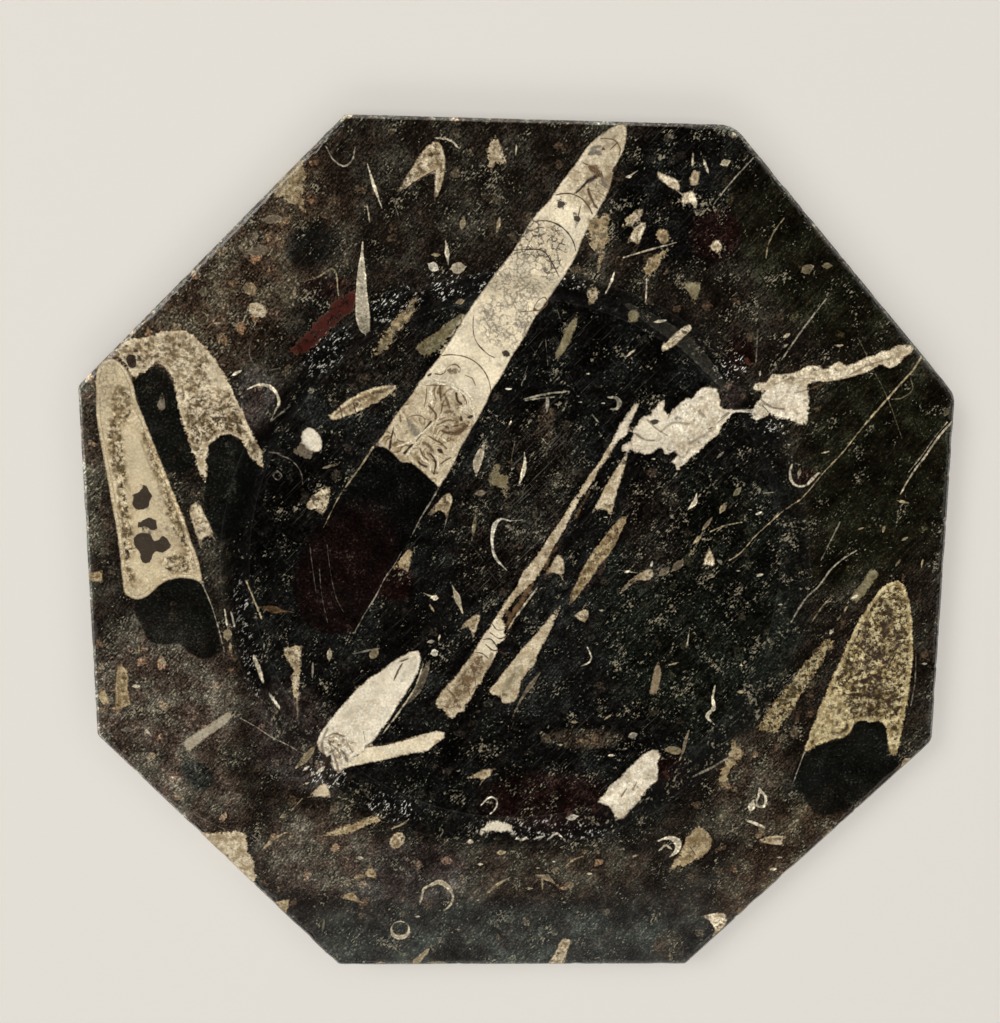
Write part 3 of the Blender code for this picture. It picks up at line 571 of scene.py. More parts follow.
SEPTA = drawn(Streak, """
# Chamber walls and cracks of the longest fossil, from its tip to its mouth.
BROWN .9 18.2,120.3,.26 20.1,120.3 21.8,120 22.9,119 23.6,117.4 23.3,116.1
BROWN .78 20.8,117.4,.26 21.6,118.2 22.6,119.2
DUSK .96 15.5,116.3,.96 16.7,116.7 17.9,116.4
DUSK .7 15.9,117.6,.66 17,118.1 18,118.3
UMBER 18.7,117.7,.6 19.1,117.5
BROWN 13.6,113.8,.28 14.9,113.3,.34 16.6,112.8,.4 18.3,111.8,.45 19.1,110.1,.51
BROWN .84 15.9,112.5,1.26 17.2,111.8 17.9,111
UMBER 17.6,110.7,.89 16.4,109.7,.79 15.1,109.2,.68 14,108,.58
UMBER .84 14,108,.51 13,106.9,.38 11.9,105.8,.24
BROWN .9 15.1,107.1,.66 15.6,105.7,.56 16.4,104.1,.46 17.3,102.4,.36
BROWN 17.3,102.6,.66 17.7,102.2
BROWN .84 12.4,106.7,.24 11.4,105.6 10,105.7 7.5,105.6
UMBER 22.5,112.8,.74 22,112.1
DUSK .7 18.9,109.7,.81 19.5,108.4 20.1,107.9
BROWN .84 14.2,103.8,.26 15.3,102.8 16.5,100.5
BROWN .78 13.2,102.3,.28 12.9,100.6 12.5,99.1
BROWN .35 18.1,117.5,.9 19.1,117.8 20.5,118.6
BROWN .3 13.6,114,.9 16,113.3 18.3,111.8
DUSK .25 16.2,109.7,1.6 17.3,108.6 18.4,107.3
BROWN .25 19.4,111.8,1.1 20.8,110.8 21.1,109.2
DUSK .35 19.1,120.4,1.5 21.2,121.3 23.1,121.8
UMBER .9 6.1,105.2,.2 9.9,105.7,.25 13.7,104.3 16.6,100.5,.2
UMBER .95 .4,98.1,.2 4.2,98.3,.25 9,96.2,.28 11.8,92.4,.25 12.3,90.5,.2
UMBER .9 -5,90.2,.2 -2,90.5,.25 3.7,90 5.6,87.6 8,83.3,.2
BROWN .9 -2,73.8,.15 1.3,74,.2 3.6,74.4 5.3,76.4 4.6,77.9 2.8,77 1.3,74.4
UMBER -15.5,72.4,.18 -15.5,68.6,.22 -15,66.1 -13.9,64.2 -12.2,62.5 -10.8,61.4,.2 -9.3,60.8,.18
BROWN -24.6,60.9,.2 -22.7,61.3,.25 -20.3,61.3 -17.9,60.9 -15.5,59.9 -13.6,58.5 -12,56.6 -10.8,54.2
 -10.3,51.8,.22 -10.2,50.6,.2
# Its crumpled mouth.
BROWN .7 -28.4,52.3,.23 -28.6,49.2 -29.1,46.3
BROWN -24.7,52.4,.45 -24.6,49.9 -24.3,48.2
BROWN .7 -26.1,52,.3 -26.3,49.9 -25.3,48.1
UMBER .8 -20,50.7,.53 -19.7,48.6 -18.6,47.5
BROWN .8 -18.2,50,.3 -17.7,48.3
BROWN .8 -23.9,47.5,.3 -24.2,45.3 -24.9,43.2
BROWN .92 -27.8,46.7,.42 -26.7,45.6 -25.7,44.2 -26,42.8
BROWN .7 -34.2,43,.24 -32.4,43.9 -29.9,43.8 -28.7,42.9
DUSK .7 -33.5,42.1,1.24 -32.4,40.2 -31.1,38.6
UMBER .98 -31.3,36.6,.3 -29.5,39.1,.39 -28.1,41,.48 -27.2,42.2,.58
UMBER -34.6,33.2,.68 -33.6,34.4,.58 -32.4,35.5,.49
UMBER .92 -38.9,34.3,.55 -38.6,36.5,.45 -38.1,39,.34 -37.7,40.8,.24
BROWN .98 -27.7,38.1,.33 -25.9,37 -24.1,36 -22.6,34.6
BROWN .7 -29.2,36.1,.74 -27.7,35.4 -26.6,33.8
UMBER .98 -24.8,34.1,.74 -24.1,33.6
BROWN .98 -30.2,34.5,.35 -29.5,32.7 -27.9,31.2
UMBER .92 -27.3,33.1,.42 -26.1,31.6 -25.7,29.8 -26.2,27.3
BROWN .98 -24.1,30.2,.36 -23,31.1 -21.4,32
UMBER -30.6,30.5,.4 -29.5,29.6 -28.3,29.3
UMBER .98 -18.6,43.8,.53 -18.4,42.7
UMBER .98 -16.3,43.7,.58 -15.5,44
BROWN .86 -23.8,39.6,.68 -21.7,39.1,.84 -19.5,39.3,1.01 -17.2,41,1.18
UMBER -22.8,41.1,.55 -22.3,40.3
BROWN .98 -20.8,41.1,.45 -19.5,41.2
UMBER -28,55.4,.5 -27.4,55.8
BROWN .86 -26.1,55.9,.25 -24,55.8 -22.3,58 -20.5,58.7 -19,57.2 -19.3,56.4
BROWN .7 -21.9,56.9,1.05 -19.9,56.6
BROWN .7 -17.6,55.7,.23 -15.5,54.7 -14.6,52.8
BROWN .92 -29.5,52.4,.24 -27.2,52.7 -24.7,52.6 -22.6,52.6 -20.4,51.8 -18.3,50.4 -17.2,48.3 -16.7,46.3
BROWN .7 -37.8,39,.33 -36.3,36.6 -34.8,36.3
BROWN .7 -25.3,41.4,.45 -23.9,42.1 -21.7,42.9 -19.6,42.2
BROWN .7 -23.2,50,.55 -22.5,47.8 -21.8,46.2
BROWN .7 -36,43.9,.45 -35.8,42.2
BROWN .7 -23.2,45,.68 -21,45.4 -20.3,44
BROWN .22 -23.3,55.4,1.7 -21.2,56.5 -18.7,55.9 -16.2,54.2 -14.7,52.9
DUSK .28 -30.3,50,2. -31.4,48.4 -32.4,46.2
BROWN .3 -24.7,51.4,1.5 -24.3,48.5 -23.7,45.7
BROWN .28 -20.4,50,1.6 -20,47.5 -20.3,44.3
BROWN .45 -22.4,40.7,1.5 -19.9,39.7 -17.4,41.5
DUSK .26 -32.4,42,1.7 -31.7,40.2 -31.3,38.8
BROWN .35 -27.7,34.9,1.4 -27.4,34.1 -26.8,33.8
BROWN .3 -23.9,42.8,1. -21.7,42.5 -20.3,43.2
BROWN .25 -36,39.8,.9 -35.4,37.6
BROWN .22 -29.8,31.9,.9 -28,29.8 -26.9,28
# The other fossils.
UMBER .75 102,-19.7,2.2 104.2,-24.3 103.3,-28.3
UMBER .7 106.5,-23.4,1.6 109.1,-26.4
UMBER .6 98.1,-27.2,1.2 100.4,-29.6
UMBER .6 105.8,-7.5,1.3 108.5,-11.1 107.7,-16
UMBER .55 110.8,-17.2,1.2 113,-22.7
UMBER .5 102.1,-13.6,1.1 100.6,-17.9
BROWN .6 -54.2,43.9,.5 -51.1,46.2 -49.1,47.3
UMBER .6 -43.6,50.2,.8 -40.8,50.8 -38.5,51.7
BROWN .6 -49.1,47.9,.5 -45.8,49.1
OLIVE .4 -34.7,-34.5,1.5 -32.7,-31.4 -31.5,-28.6
BROWN .35 -36.2,-29.6,.6 -33.3,-27.7
BROWN .7 -57.9,-53.1,.34 -55.2,-51.8 -52.2,-52.7
BROWN .6 -57,-53.7,.4 -55.8,-57.2 -53.8,-62.9
UMBER .5 -57.3,-50.3,.5 -58.8,-55 -57.9,-59.1
UMBER .6 -53.1,-57.2,.8 -51.4,-60.3
TAN .3 -46.8,-37.7,2.2 -49.8,-44.6 -53.4,-48.4
TAN .25 -40,-32.1,1.6 -42.1,-37.7 -44.5,-41.4
BROWN .75 -12.5,-29.4,2.6 -15.4,-34.4 -18.3,-40
UMBER .6 -14.3,-30.6,.9 -11.9,-33.1
UMBER .6 -17.2,-35.6,.8 -15.1,-37.5
UMBER .5 -16.1,-31.9,.6 -17.8,-35
BROWN .5 -20.1,-40.6,.9 -21.6,-43.1
BROWN .5 -8.4,-26.9,.8 -9.5,-30.6
UMBER .8 -6.7,-25.6,.4 -4.6,-26.8
BROWN .6 -3.8,-19.5,.8 -2.7,-15.8 -4.6,-13.4
BROWN .5 -1.3,-14.3,.6 .7,-9.7 2.3,-6
BROWN .5 6.6,-.6,.6 8.5,4 10.2,6.1
BROWN .5 15,14.4,.5 17.1,18.9 19.1,22.7
UMBER .85 -10.3,-23.8,.26 -7.9,-25.6 -5.2,-25
UMBER .85 -9.1,-20.1,.26 -6.1,-21.9 -3.8,-21
OLIVE .6 -4.3,-37.4,1.7 -2.3,-34.3 0,-31.1
BROWN .6 -3.5,-36.1,.8 -1.8,-33
UMBER .5 22.8,-1.9,.9 24.5,2.1
UMBER .5 19.5,-7,.7 21.1,-3.4
BROWN .5 26.1,6.3,.7 27.4,9.9
BROWN .5 39.2,40.5,.5 42,42.9 47.2,42.9
BROWN .6 31.7,39.8,.5 34.7,38.1 37.3,37.9
BROWN .45 47.5,37.2,.5 51.5,39.6 54.8,41.9
BROWN .5 43.3,34.8,.5 46,33.1 47.6,35.4
UMBER .7 56.4,44.8,.25 60,47.2 64.4,47.5
BROWN .6 66.2,50.7,.4 69.5,48.5 73.1,48
BROWN .5 75.7,52.6,.35 80.2,53.8 86.4,56.8
BROWN .45 69.7,54.8,.4 74.2,56.6 80,56.7
BROWN .5 91.3,58,.35 95.4,60.4 102.5,62.8
BROWN .5 50,46.4,.6 51.8,44.8
BROWN .55 35,43.9,.35 37.5,41.6 41,39.4
UMBER .8 -53.1,46.3,.25 -52.4,43.2
UMBER .8 -49.3,47.6,.25 -48.6,44.7
UMBER .9 -14.9,28.6,.14 -13,28.9
UMBER .9 -14.4,30.1,.14 -12.6,30.4
UMBER .9 -14,31.6,.14 -12.3,31.8
UMBER .9 -11.5,-22.3,.2 -8.9,-22.1,.28 -7.2,-24,.22
UMBER .9 -13.9,-26.1,.2 -11.2,-26.6,.28 -9.3,-28.3,.22
UMBER .9 -8.6,-17.3,.2 -7,-19.2,.28 -4.8,-19.2,.22
BROWN .8 -6.2,-13.5,.16 -3.6,-14,.18
BROWN .7 -2,-7.6,.16 .5,-8.6,.18
BROWN .7 3.4,.6,.16 5.6,-.7,.18
BROWN .7 7.2,6.6,.16 9,5.6,.18
BROWN .95 3.2,-5.2,.6 .2,-10,.85 -2.2,-14.1 -4.1,-17.8,.5
BROWN .7 -18.2,-33.2,.25 -16,-36.4,.4 -14.6,-39.8,.2
BROWN .7 -21.6,-37.6,.25 -19.4,-40,.4 -18.2,-43.2,.2
BROWN .6 -13.6,-33,.25 -13.2,-36.6,.35 -14.4,-38.8,.2
BROWN .6 -23.2,-42.6,.2 -21,-43.6,.3 -18,-42.4,.2
BROWN .85 -35,-29.7,.35 -36.2,-32,.5 -37.5,-35,.35
BROWN .8 -33.1,-28.3,.3 -35.5,-29.2,.4
BROWN .8 -46.5,-51,.14 -46,-54.5
BROWN .6 -57.2,-54.6,.25 -54.6,-56.6,.4 -53,-59.4,.2
BROWN .45 -51.6,-54.4,.2 -50,-57.4,.3
BROWN .7 -45,-55.9,.2 -38,-54.6,.16 -30.8,-52.9,.14
BROWN .9 55.6,43.5,.14 57.6,45.2,.18 59.4,46.6
UMBER .9 66.8,49,.14 68.7,47,.2
BROWN .75 33.6,-68.8,.3 32,-71.5,.4
BROWN .6 36.6,-66.8,.25 35.4,-69.5,.3
BROWN .9 53,-85.6,.3 54.6,-88
BROWN .35 -116.2,43,.4 -115.6,36,.5 -115.4,28,.4 -114.6,20,.5 -114,14,.4 -112.8,7
BROWN .35 -108,36,.4 -106,30,.5 -104,26,.4 -103,22,.5 -101.5,18,.4
JET .9 -34.6,105.7,.18 -31.7,107.9,.22 -26.5,111,.18
BROWN .8 -123.8,-3.4,.2 -120.4,-3
""")

BLOTS = drawn(Fleck, """
UMBER .7 -1.6,96.2,1.2,.7,60 UMBER .85 -46.6,70.3,1.8,1.3,20 UMBER .8 -44.9,72.6,1.1,.8,70
UMBER .8 -108.6,60.9,1.7,1.2,0 BROWN .8 -103,59.6,1.9,1.5,0 UMBER .85 102.5,-32.1,4,2.6,20
UMBER .85 106.3,-31.1,3.6,2.2,-20 UMBER .8 104.9,-35.9,4,3,60 UMBER .8 99.6,-35.4,2.2,1.6,0
UMBER .7 111.5,-21.6,2.7,1.8,60 UMBER .75 107.7,-17.8,3,2,40 UMBER .6 104.5,-12,2.4,1.4,50
UMBER .6 109,-26,2.4,1.5,60 UMBER .6 100.5,-26.5,2.6,1.5,60 UMBER .6 97,-30,2.2,1.2,60
UMBER .6 110.5,-38.5,2.6,1.6,80 UMBER .6 95.5,-42,2.4,1.5,50 BROWN 53.7,41.8,1.9,1.2,20
UMBER .9 -57,-60.2,4.2,2.4,70 UMBER .9 .2,-37.4,1,.8,0 UMBER .9 -.6,-39.4,.9,.7,0 UMBER .6 82.5,-43.5,4,3,40
UMBER .5 84.5,-33,3,1.6,55 UMBER .5 79.5,-39,2.6,1.6,50 BROWN .5 -24.5,-54.2,2.2,1.4,30
""")

# Painted glints on the wall of the well and beside it. The JET ones also paint the wall darker there, as
# painted shade.
# The patches at -60,-88, -104,-42 and -96,-66, on the lower left of the rim, are the stone's brown made
# paler by a painted reflection of hazy light.
GROUND = drawn(Patch, """
# The rim, clockwise from the top left.
LOAM .95 .3 -88,84,48,24,45 EARTH .5 .2 -20,112,36,14,0 JET .95 .4 43,106,22,20,0 FERN .2 .2 80,90,32,17,-45
FERN .12 .2 102,32,22,34,0 EARTH .5 119,-28,6,26,0 MOSS .35 98,-68,16,10,0 LOAM .6 86,-88,30,14,45
PEAT 1 70,-66,10,18,-10 PEAT .45 4,-93,34,10,0 PLUM .5 -34,-94,20,10,0 CLAY .55 -60,-88,17,14,0
SLATE .5 0,-116,66,12,0 SLATE .95 -21,-113,8,6,0 SLATE .95 0,-113,5,9,0 CLAY .9 -104,-42,21,28,0
CLAY .6 -96,-66,20,10,-45 SLATE .3 -95,-63,6,4,-45 PEAT .8 -121,28,6,26,0 PLUM .4 -76,48,6,8,0
PEAT .4 48,-118,5,5,0
# The well.
JET .35 .5 -70,8,9,30,0 SOOT .55 .5 -48,62,19,15,-45 JET .36 .6 24,54,32,24,0 SOOT .55 1 -2,18,16,28,-20
MOSS .9 .5 54,-12,30,40,0 SOOT 1.1 .4 38,12,9,17,0 JET .6 .4 4,-66,48,20,0 PEAT .8 20,-53,11,3,0
PLUM .6 -66,-52,12,16,30 PEAT .5 5.8,41,2.2,7,0 JET .2 .3 -40,5,12,20,40 FERN .3 91,4,7,8,0
EARTH 1 11,26.5,4,3,0 EARTH 1 -12.5,101,5,8,0
# Red iron stains.
OXBLOOD amount=.9 51,96,7,7,0 OXBLOOD amount=.9 59,63,5,5,0 OXBLOOD amount=.8 -56,79,9,3,0
OXBLOOD amount=.7 10,-73,20,9,0 OXBLOOD amount=.8 -38,-5,6,6,0 OXBLOOD amount=.8 46,-63,5,5,0
PLUM amount=.9 58,51,4,4,0 OXBLOOD amount=.9 80.5,28.5,3,3,0 SOOT .05 -60,90,8,6,30
# Glints of crystal on the wall of the well and beside it.
SAME glints=1 -23,80,5,3.5,0 JET glints=.55 -37,75,8,4,26 JET glints=.5 -56,62,9,4,48
JET glints=.5 -12,81,8,3,6 SAME glints=1 12,82,3.4,2,0 SAME glints=.8 57.5,59.5,4,4,0
SAME glints=.9 71.5,42.5,3.2,2.8,0 SAME glints=.55 -38,-74,8,3,-20 SAME glints=.4 8,-81,22,2.4,0
SAME glints=.7 -57,-62,5,6,40 SAME glints=.35 -80,-22,2.5,20,8
""")

BLOOMS = drawn(Bloom, """
# Down the longest fossil from its tip.
SAME .25 .6 .55 21,116,9,6,65 SAME .45 .5 .6 15.5,108,7,6,60 SAME .1 0 5,96.5,8,6,60
SAME .3 1.5 1.5,90,9,7.5,60 SAME .1 .75 -3,82,8,8,60 SAME .05 .8 -6,72,9,8,60 SAME 0 0 -18,63,6,4,60
SAME 0 .1 -12,57,7,4,60 SAME .1 .2 .2 -22,56.5,5,3,0 WHITE 0 0 .15 .6 -21,52.5,9,2.6,-20
SAME .2 .1 1 -28,40,14,12.5,45 SAME .05 0 1 -35,37,7,5,-40 SAME .1 0 1 -26,31,7,6,45
# The two at the left edge.
SAME .1 .7 -117,52,4,8,0 SAME .85 .2 -113,46,3,6,0 SAME 1.05 .1 -114.5,32,2.2,11,6 SAME 1.05 .1 -113,8,2,14,4
SAME 1.05 .1 -105,34,1.6,9,12 SAME 1.05 .1 -99,16,2,14,16 SAME 0 0 -109,28,3.2,12,8 STRAW .1 0 -107,1,6,3,0
SAME .95 .3 -98.5,1,5,3,0 STRAW .05 0 -107,14,3.5,12,0 SAME .9 .5 -103,61,7,4,20 SAME .9 .2 -88,52,6,14,-24
SAME .25 .1 -83,60,4,10,-24 SAME 1.1 .2 -93.5,38,3,9,-15 SAME 1.15 .3 -84,41,9,5,0 SAME 1.2 .3 -79,33,3,5,0
# The freckled one at the right edge.
SAME 1.6 .9 105,-38,8,7,10 SAME 1.45 .4 108,-14,6,12,-10 SAME .75 .2 93,-44,5,9,-20
# The white ones and the stem in the well.
WHITE 0 .05 0 -36,-36,8,5,40 SAME .7 .5 -55,-57,6,5,40 WHITE 0 .05 .25 33,40,9,8,0
SAME .55 .4 .3 -16,-38,7,8,50 CREAM .1 .2 0 -8,-22,6,6,50 SAME .6 .3 10,10,10,30,-30
""")

BACK_FOSSILS = drawn(Fossil, """
BONE .4 .4 .3 .5 -70,62! -60,48 -48,30 -38,12 -30,-6 -26,-16 -20,-14 -18,-6 -24,10 -34,30 -46,48 -58,60
TAN .6 .3 .4 .6 48,-84! 54,-66 62,-44 68,-26 72,-14 82,-16 84,-26 78,-42 68,-60 58,-76
BONE .3 .4 .2 .6 20,88 34,78 46,64 52,58 55,62 48,74 36,86 24,93
OLIVE .5 .4 0 .8 -96,-30 -86,-44 -78,-60 -73,-66 -70,-62 -76,-48 -86,-34 -94,-26
CREAM .2 .4 0 .5 6,22 12,16 20,6 24,2 26,5 20,14 12,23 8,26
""")


def curve(path: str, closed: bool, step: float) -> Array:
    """Runs a smooth curve through the points of a drawn path.

    Args:
        path: Points as comma-separated numbers, x and y first. A number that is left out is that of the
            point before, and an exclamation mark after a point makes it a corner.
        closed: Whether the last point joins the first.
        step: The longest piece between two points of the result, in millimetres.

    Returns:
        One row per point, with as many columns as the path has numbers in each point.
    """
    words = path.replace("!", "! ").split()
    sharp = [word.endswith("!") for word in words]
    knots = []
    for word in words:
        knot = numbers_in(word.rstrip("!"))
        knots.append(knot + knots[-1][len(knot):] if knots else knot)
    knots = np.array(knots)
    count = len(knots)
    if not closed:
        sharp[0] = sharp[-1] = True
    ahead = np.roll(knots, -1, axis=0) - knots
    reach = np.maximum(np.hypot(ahead[:, 0], ahead[:, 1]), 1e-6)
    slope = ahead / reach[:, None]
    points = []
    for i in range(count if closed else count - 1):
        j = (i + 1) % count
        leave = slope[i]
        if not sharp[i]:
            leave = (slope[i - 1] * reach[i] + slope[i] * reach[i - 1]) / (reach[i] + reach[i - 1])
        arrive = slope[i]
        if not sharp[j]:
            arrive = (slope[i] * reach[j] + slope[j] * reach[i]) / (reach[i] + reach[j])
        pieces = max(1, math.ceil(reach[i] / step))
        t = (np.arange(pieces) / pieces)[:, None]
        points.append(
            (2 * t**3 - 3 * t**2 + 1) * knots[i] + (t**3 - 2 * t**2 + t) * reach[i] * leave
            + (3 * t**2 - 2 * t**3) * knots[j] + (t**3 - t**2) * reach[i] * arrive
        )
    if not closed:
        points.append(knots[-1:])
    return np.concatenate(points)


def depth_inside(loop: Array, at: Array) -> Array:
    """Measures how far points lie inside a closed loop.

    Args:
        loop: The loop's corners, one row each.
        at: The points, one row each.

    Returns:
        The distance to the loop in millimetres, positive inside it and negative outside.
    """
    span = np.roll(loop, -1, axis=0) - loop
    square = np.maximum((span**2).sum(axis=1), 1e-9)
    found = np.empty(len(at))
    batch = 3000
    for first in range(0, len(at), batch):
        part = at[first:first + batch, None, :] - loop[None]
        along = np.clip((part * span).sum(axis=2) / square, 0.0, 1.0)
        gap = part - along[..., None] * span
        near = np.sqrt((gap**2).sum(axis=2).min(axis=1))
        below = part[..., 1] >= 0
        above = part[..., 1] - span[:, 1] < 0
        side = span[:, 0] * part[..., 1] - span[:, 1] * part[..., 0]
        turns = (below & above & (side > 0)).sum(axis=1) - (~below & ~above & (side < 0)).sum(axis=1)
        found[first:first + batch] = np.where(turns != 0, near, -near)
    return found


def beside(line: Array, at: Array) -> tuple[Array, Array]:
    """Measures where points lie beside a drawn line.

    Args:
        line: The line's points, one row each, as x, y and half width.
        at: The points to place, one row each.

    Returns:
        The signed distance from the line to each point, and the line's half width there. Past the line's
        ends the half width shrinks by the overshoot.
    """
    span = line[1:, :2] - line[:-1, :2]
    length = np.maximum(np.hypot(span[:, 0], span[:, 1]), 1e-6)
    part = at[:, None, :] - line[None, :-1, :2]
    free = (part * span).sum(axis=2) / length**2
    held = np.clip(free, 0.0, 1.0)
    gap = part - held[..., None] * span
    pick = (gap**2).sum(axis=2).argmin(axis=1)
    row = np.arange(len(at))
    span, length, part = span[pick], length[pick], part[row, pick]
    free, held = free[row, pick], held[row, pick]
    aside = (span[:, 0] * part[:, 1] - span[:, 1] * part[:, 0]) / length
    over = np.where((pick == 0) & (free < 0), -free * length, 0.0)
    over += np.where((pick == len(line) - 2) & (free > 1), (free - 1) * length, 0.0)
    return aside, line[pick, 2] * (1 - held) + line[pick + 1, 2] * held - over


def pointed_oval(fleck: Fleck) -> Array:
    """Turns a fleck into a short line whose half width swells in the middle."""
    x, y, length, width, angle = numbers_in(fleck.shape)
    turn = math.radians(angle)
    along = np.array([-1.0, -0.85, -0.5, 0.0, 0.5, 0.85, 1.0])
    reach = along * length / 2
    swell = np.sqrt(1 - along**2) * width / 2
    return np.stack([x + reach * math.cos(turn), y + reach * math.sin(turn), swell], axis=1)


@dataclass
class Drawing:
    """Everything drawn on one face of the stone, ready to be read off at any point of it.

    step is the spacing of the points along its lines, margin how far from a shape its depth still counts,
    and blur how far from a line's edge a triangle still carries the line, all in millimetres.
    """

    fossils: tuple[Fossil, ...] = ()
    chambers: tuple[Stain, ...] = ()
    holes: tuple[Stain, ...] = ()
    pale: tuple[Streak | Fleck, ...] = ()
    dark: tuple[Streak | Fleck, ...] = ()
    ground: tuple[Patch, ...] = ()
    mud: tuple[Patch, ...] = ()
    blooms: tuple[Bloom, ...] = ()
    step: float = 0.7
    margin: float = 3.0
    blur: float = 0.6

    def lines(self, marks: tuple[Streak | Fleck, ...]) -> list[Array]:
        """Gives each streak and fleck as a line of x, y and half width."""
        return [curve(m.path, False, self.step) if isinstance(m, Streak) else pointed_oval(m) for m in marks]

    def guides(self) -> Array:
        """Collects the points that the stone's mesh needs along outlines and lines, as x and y."""
        shapes = self.fossils + self.chambers + self.holes
        loops = [curve(shape.outline, True, self.step) for shape in shapes]
        loops += [line[:, :2] for line in self.lines(self.pale + self.dark)]
        return np.concatenate(loops)

    def depth(self, shapes: tuple[Fossil | Stain, ...], at: Array) -> tuple[Array, Array]:
        """Finds how deep points lie inside the nearest of some closed shapes.

        Args:
            shapes: The shapes to look through.
            at: The points, one row each.

        Returns:
            The depth in millimetres, negative outside, and the index of the shape it belongs to.
        """
        deepest = np.full(len(at), FAR)
        owner = np.zeros(len(at), dtype=int)
        for index, shape in enumerate(shapes):
            loop = curve(shape.outline, True, self.step)
            low, high = loop.min(axis=0) - self.margin, loop.max(axis=0) + self.margin
            near = np.flatnonzero(((at > low) & (at < high)).all(axis=1))
            if len(near) == 0:
                continue
            depth = depth_inside(loop, at[near])
            better = depth > deepest[near]
            deepest[near[better]] = depth[better]
            owner[near[better]] = index
        return deepest, owner

    def strokes(
        self, marks: tuple[Streak | Fleck, ...], at: Array, faces: Array
    ) -> list[tuple[Array, Array]]:
        """Chooses the two lines that matter most in each triangle.

        Args:
            marks: The streaks and flecks to choose from.
            at: The mesh's points, one row each.
            faces: The mesh's triangles as rows of three point indices.

        Returns:
            For the first and the second choice, the (distance, half width, strength) of each triangle's
            corners and the colour of each triangle.
        """
        score = np.full((2, len(faces)), NOWHERE)
        reading = np.zeros((2, len(faces), 3, 3))
        reading[..., 0] = -NOWHERE
        reading[..., 1] = NOWHERE
        tone = np.zeros((2, len(faces), 3))
        middle = at[faces].mean(axis=1)
        for mark, line in zip(marks, self.lines(marks)):
            low = line[:, :2].min(axis=0) - self.margin
            high = line[:, :2].max(axis=0) + self.margin
            near = np.flatnonzero(((middle > low) & (middle < high)).all(axis=1))
            if len(near) == 0:
                continue
            corners = np.unique(faces[near])
            aside, width = beside(line, at[corners])
            place = np.searchsorted(corners, faces[near])
            aside, width = aside[place], width[place]
            crossed = (aside.min(axis=1) < 0) & (aside.max(axis=1) > 0)
            merit = width.mean(axis=1) - np.where(crossed, 0.0, np.abs(aside).min(axis=1))
            merit = np.where(merit > -self.blur, merit, NOWHERE)
            value = np.stack([aside, width, np.full_like(aside, mark.strength)], axis=2)
            first = merit > score[0, near]
            second = ~first & (merit > score[1, near])
            shifted = near[first]
            for kept in (score, reading, tone):
                kept[1, shifted] = kept[0, shifted]
            for rank, chosen in ((0, first), (1, second)):
                score[rank, near[chosen]] = merit[chosen]
                reading[rank, near[chosen]] = value[chosen]
                tone[rank, near[chosen]] = mark.tone.value
        return [(reading[i].reshape(-1, 3), tone[i]) for i in range(2)]

    def spread(self, patches: tuple[Patch | Bloom, ...], at: Array, tone: Array, habit: Array) -> None:
        """Lays soft patches over the tones and habits of some points, in place.

        Args:
            patches: The patches, the later ones over the earlier. Each fades out a quarter past its size.
            at: The points, one row each.
            tone: The points' colours, which change.
            habit: The three amounts that each point carries, which change.
        """
        rim, fade = 1.25, 0.5
        for patch in patches:
            x, y, long, short, angle = numbers_in(patch.shape)
            turn = math.radians(angle)
            gap = at - (x, y)
            u = (gap[:, 0] * math.cos(turn) + gap[:, 1] * math.sin(turn)) / long
            v = (gap[:, 1] * math.cos(turn) - gap[:, 0] * math.sin(turn)) / short
            soft = np.clip((rim - np.hypot(u, v)) / fade, 0.0, 1.0)
            soft = soft * soft * (3 - 2 * soft) * patch.amount
            if patch.tone is not None:
                tone += (np.array(patch.tone.value) - tone) * soft[:, None]
            for column, amount in enumerate(patch.habits()):
                if amount is not None:
                    habit[:, column] += (amount - habit[:, column]) * soft


FACE_DRAWING = Drawing(FOSSILS, CHAMBERS, HOLES, VEINS + FLECKS, SEPTA + BLOTS, GROUND, MUD_TONES, BLOOMS)
BACK_DRAWING = Drawing(BACK_FOSSILS)


def sorted_places(points: Array) -> KDTree:
    """Sorts points by place, for finding the nearest ones."""
    tree = KDTree(len(points))
    for index, (x, y) in enumerate(points):
        tree.insert((x, y, 0.0), index)
    tree.balance()
    return tree


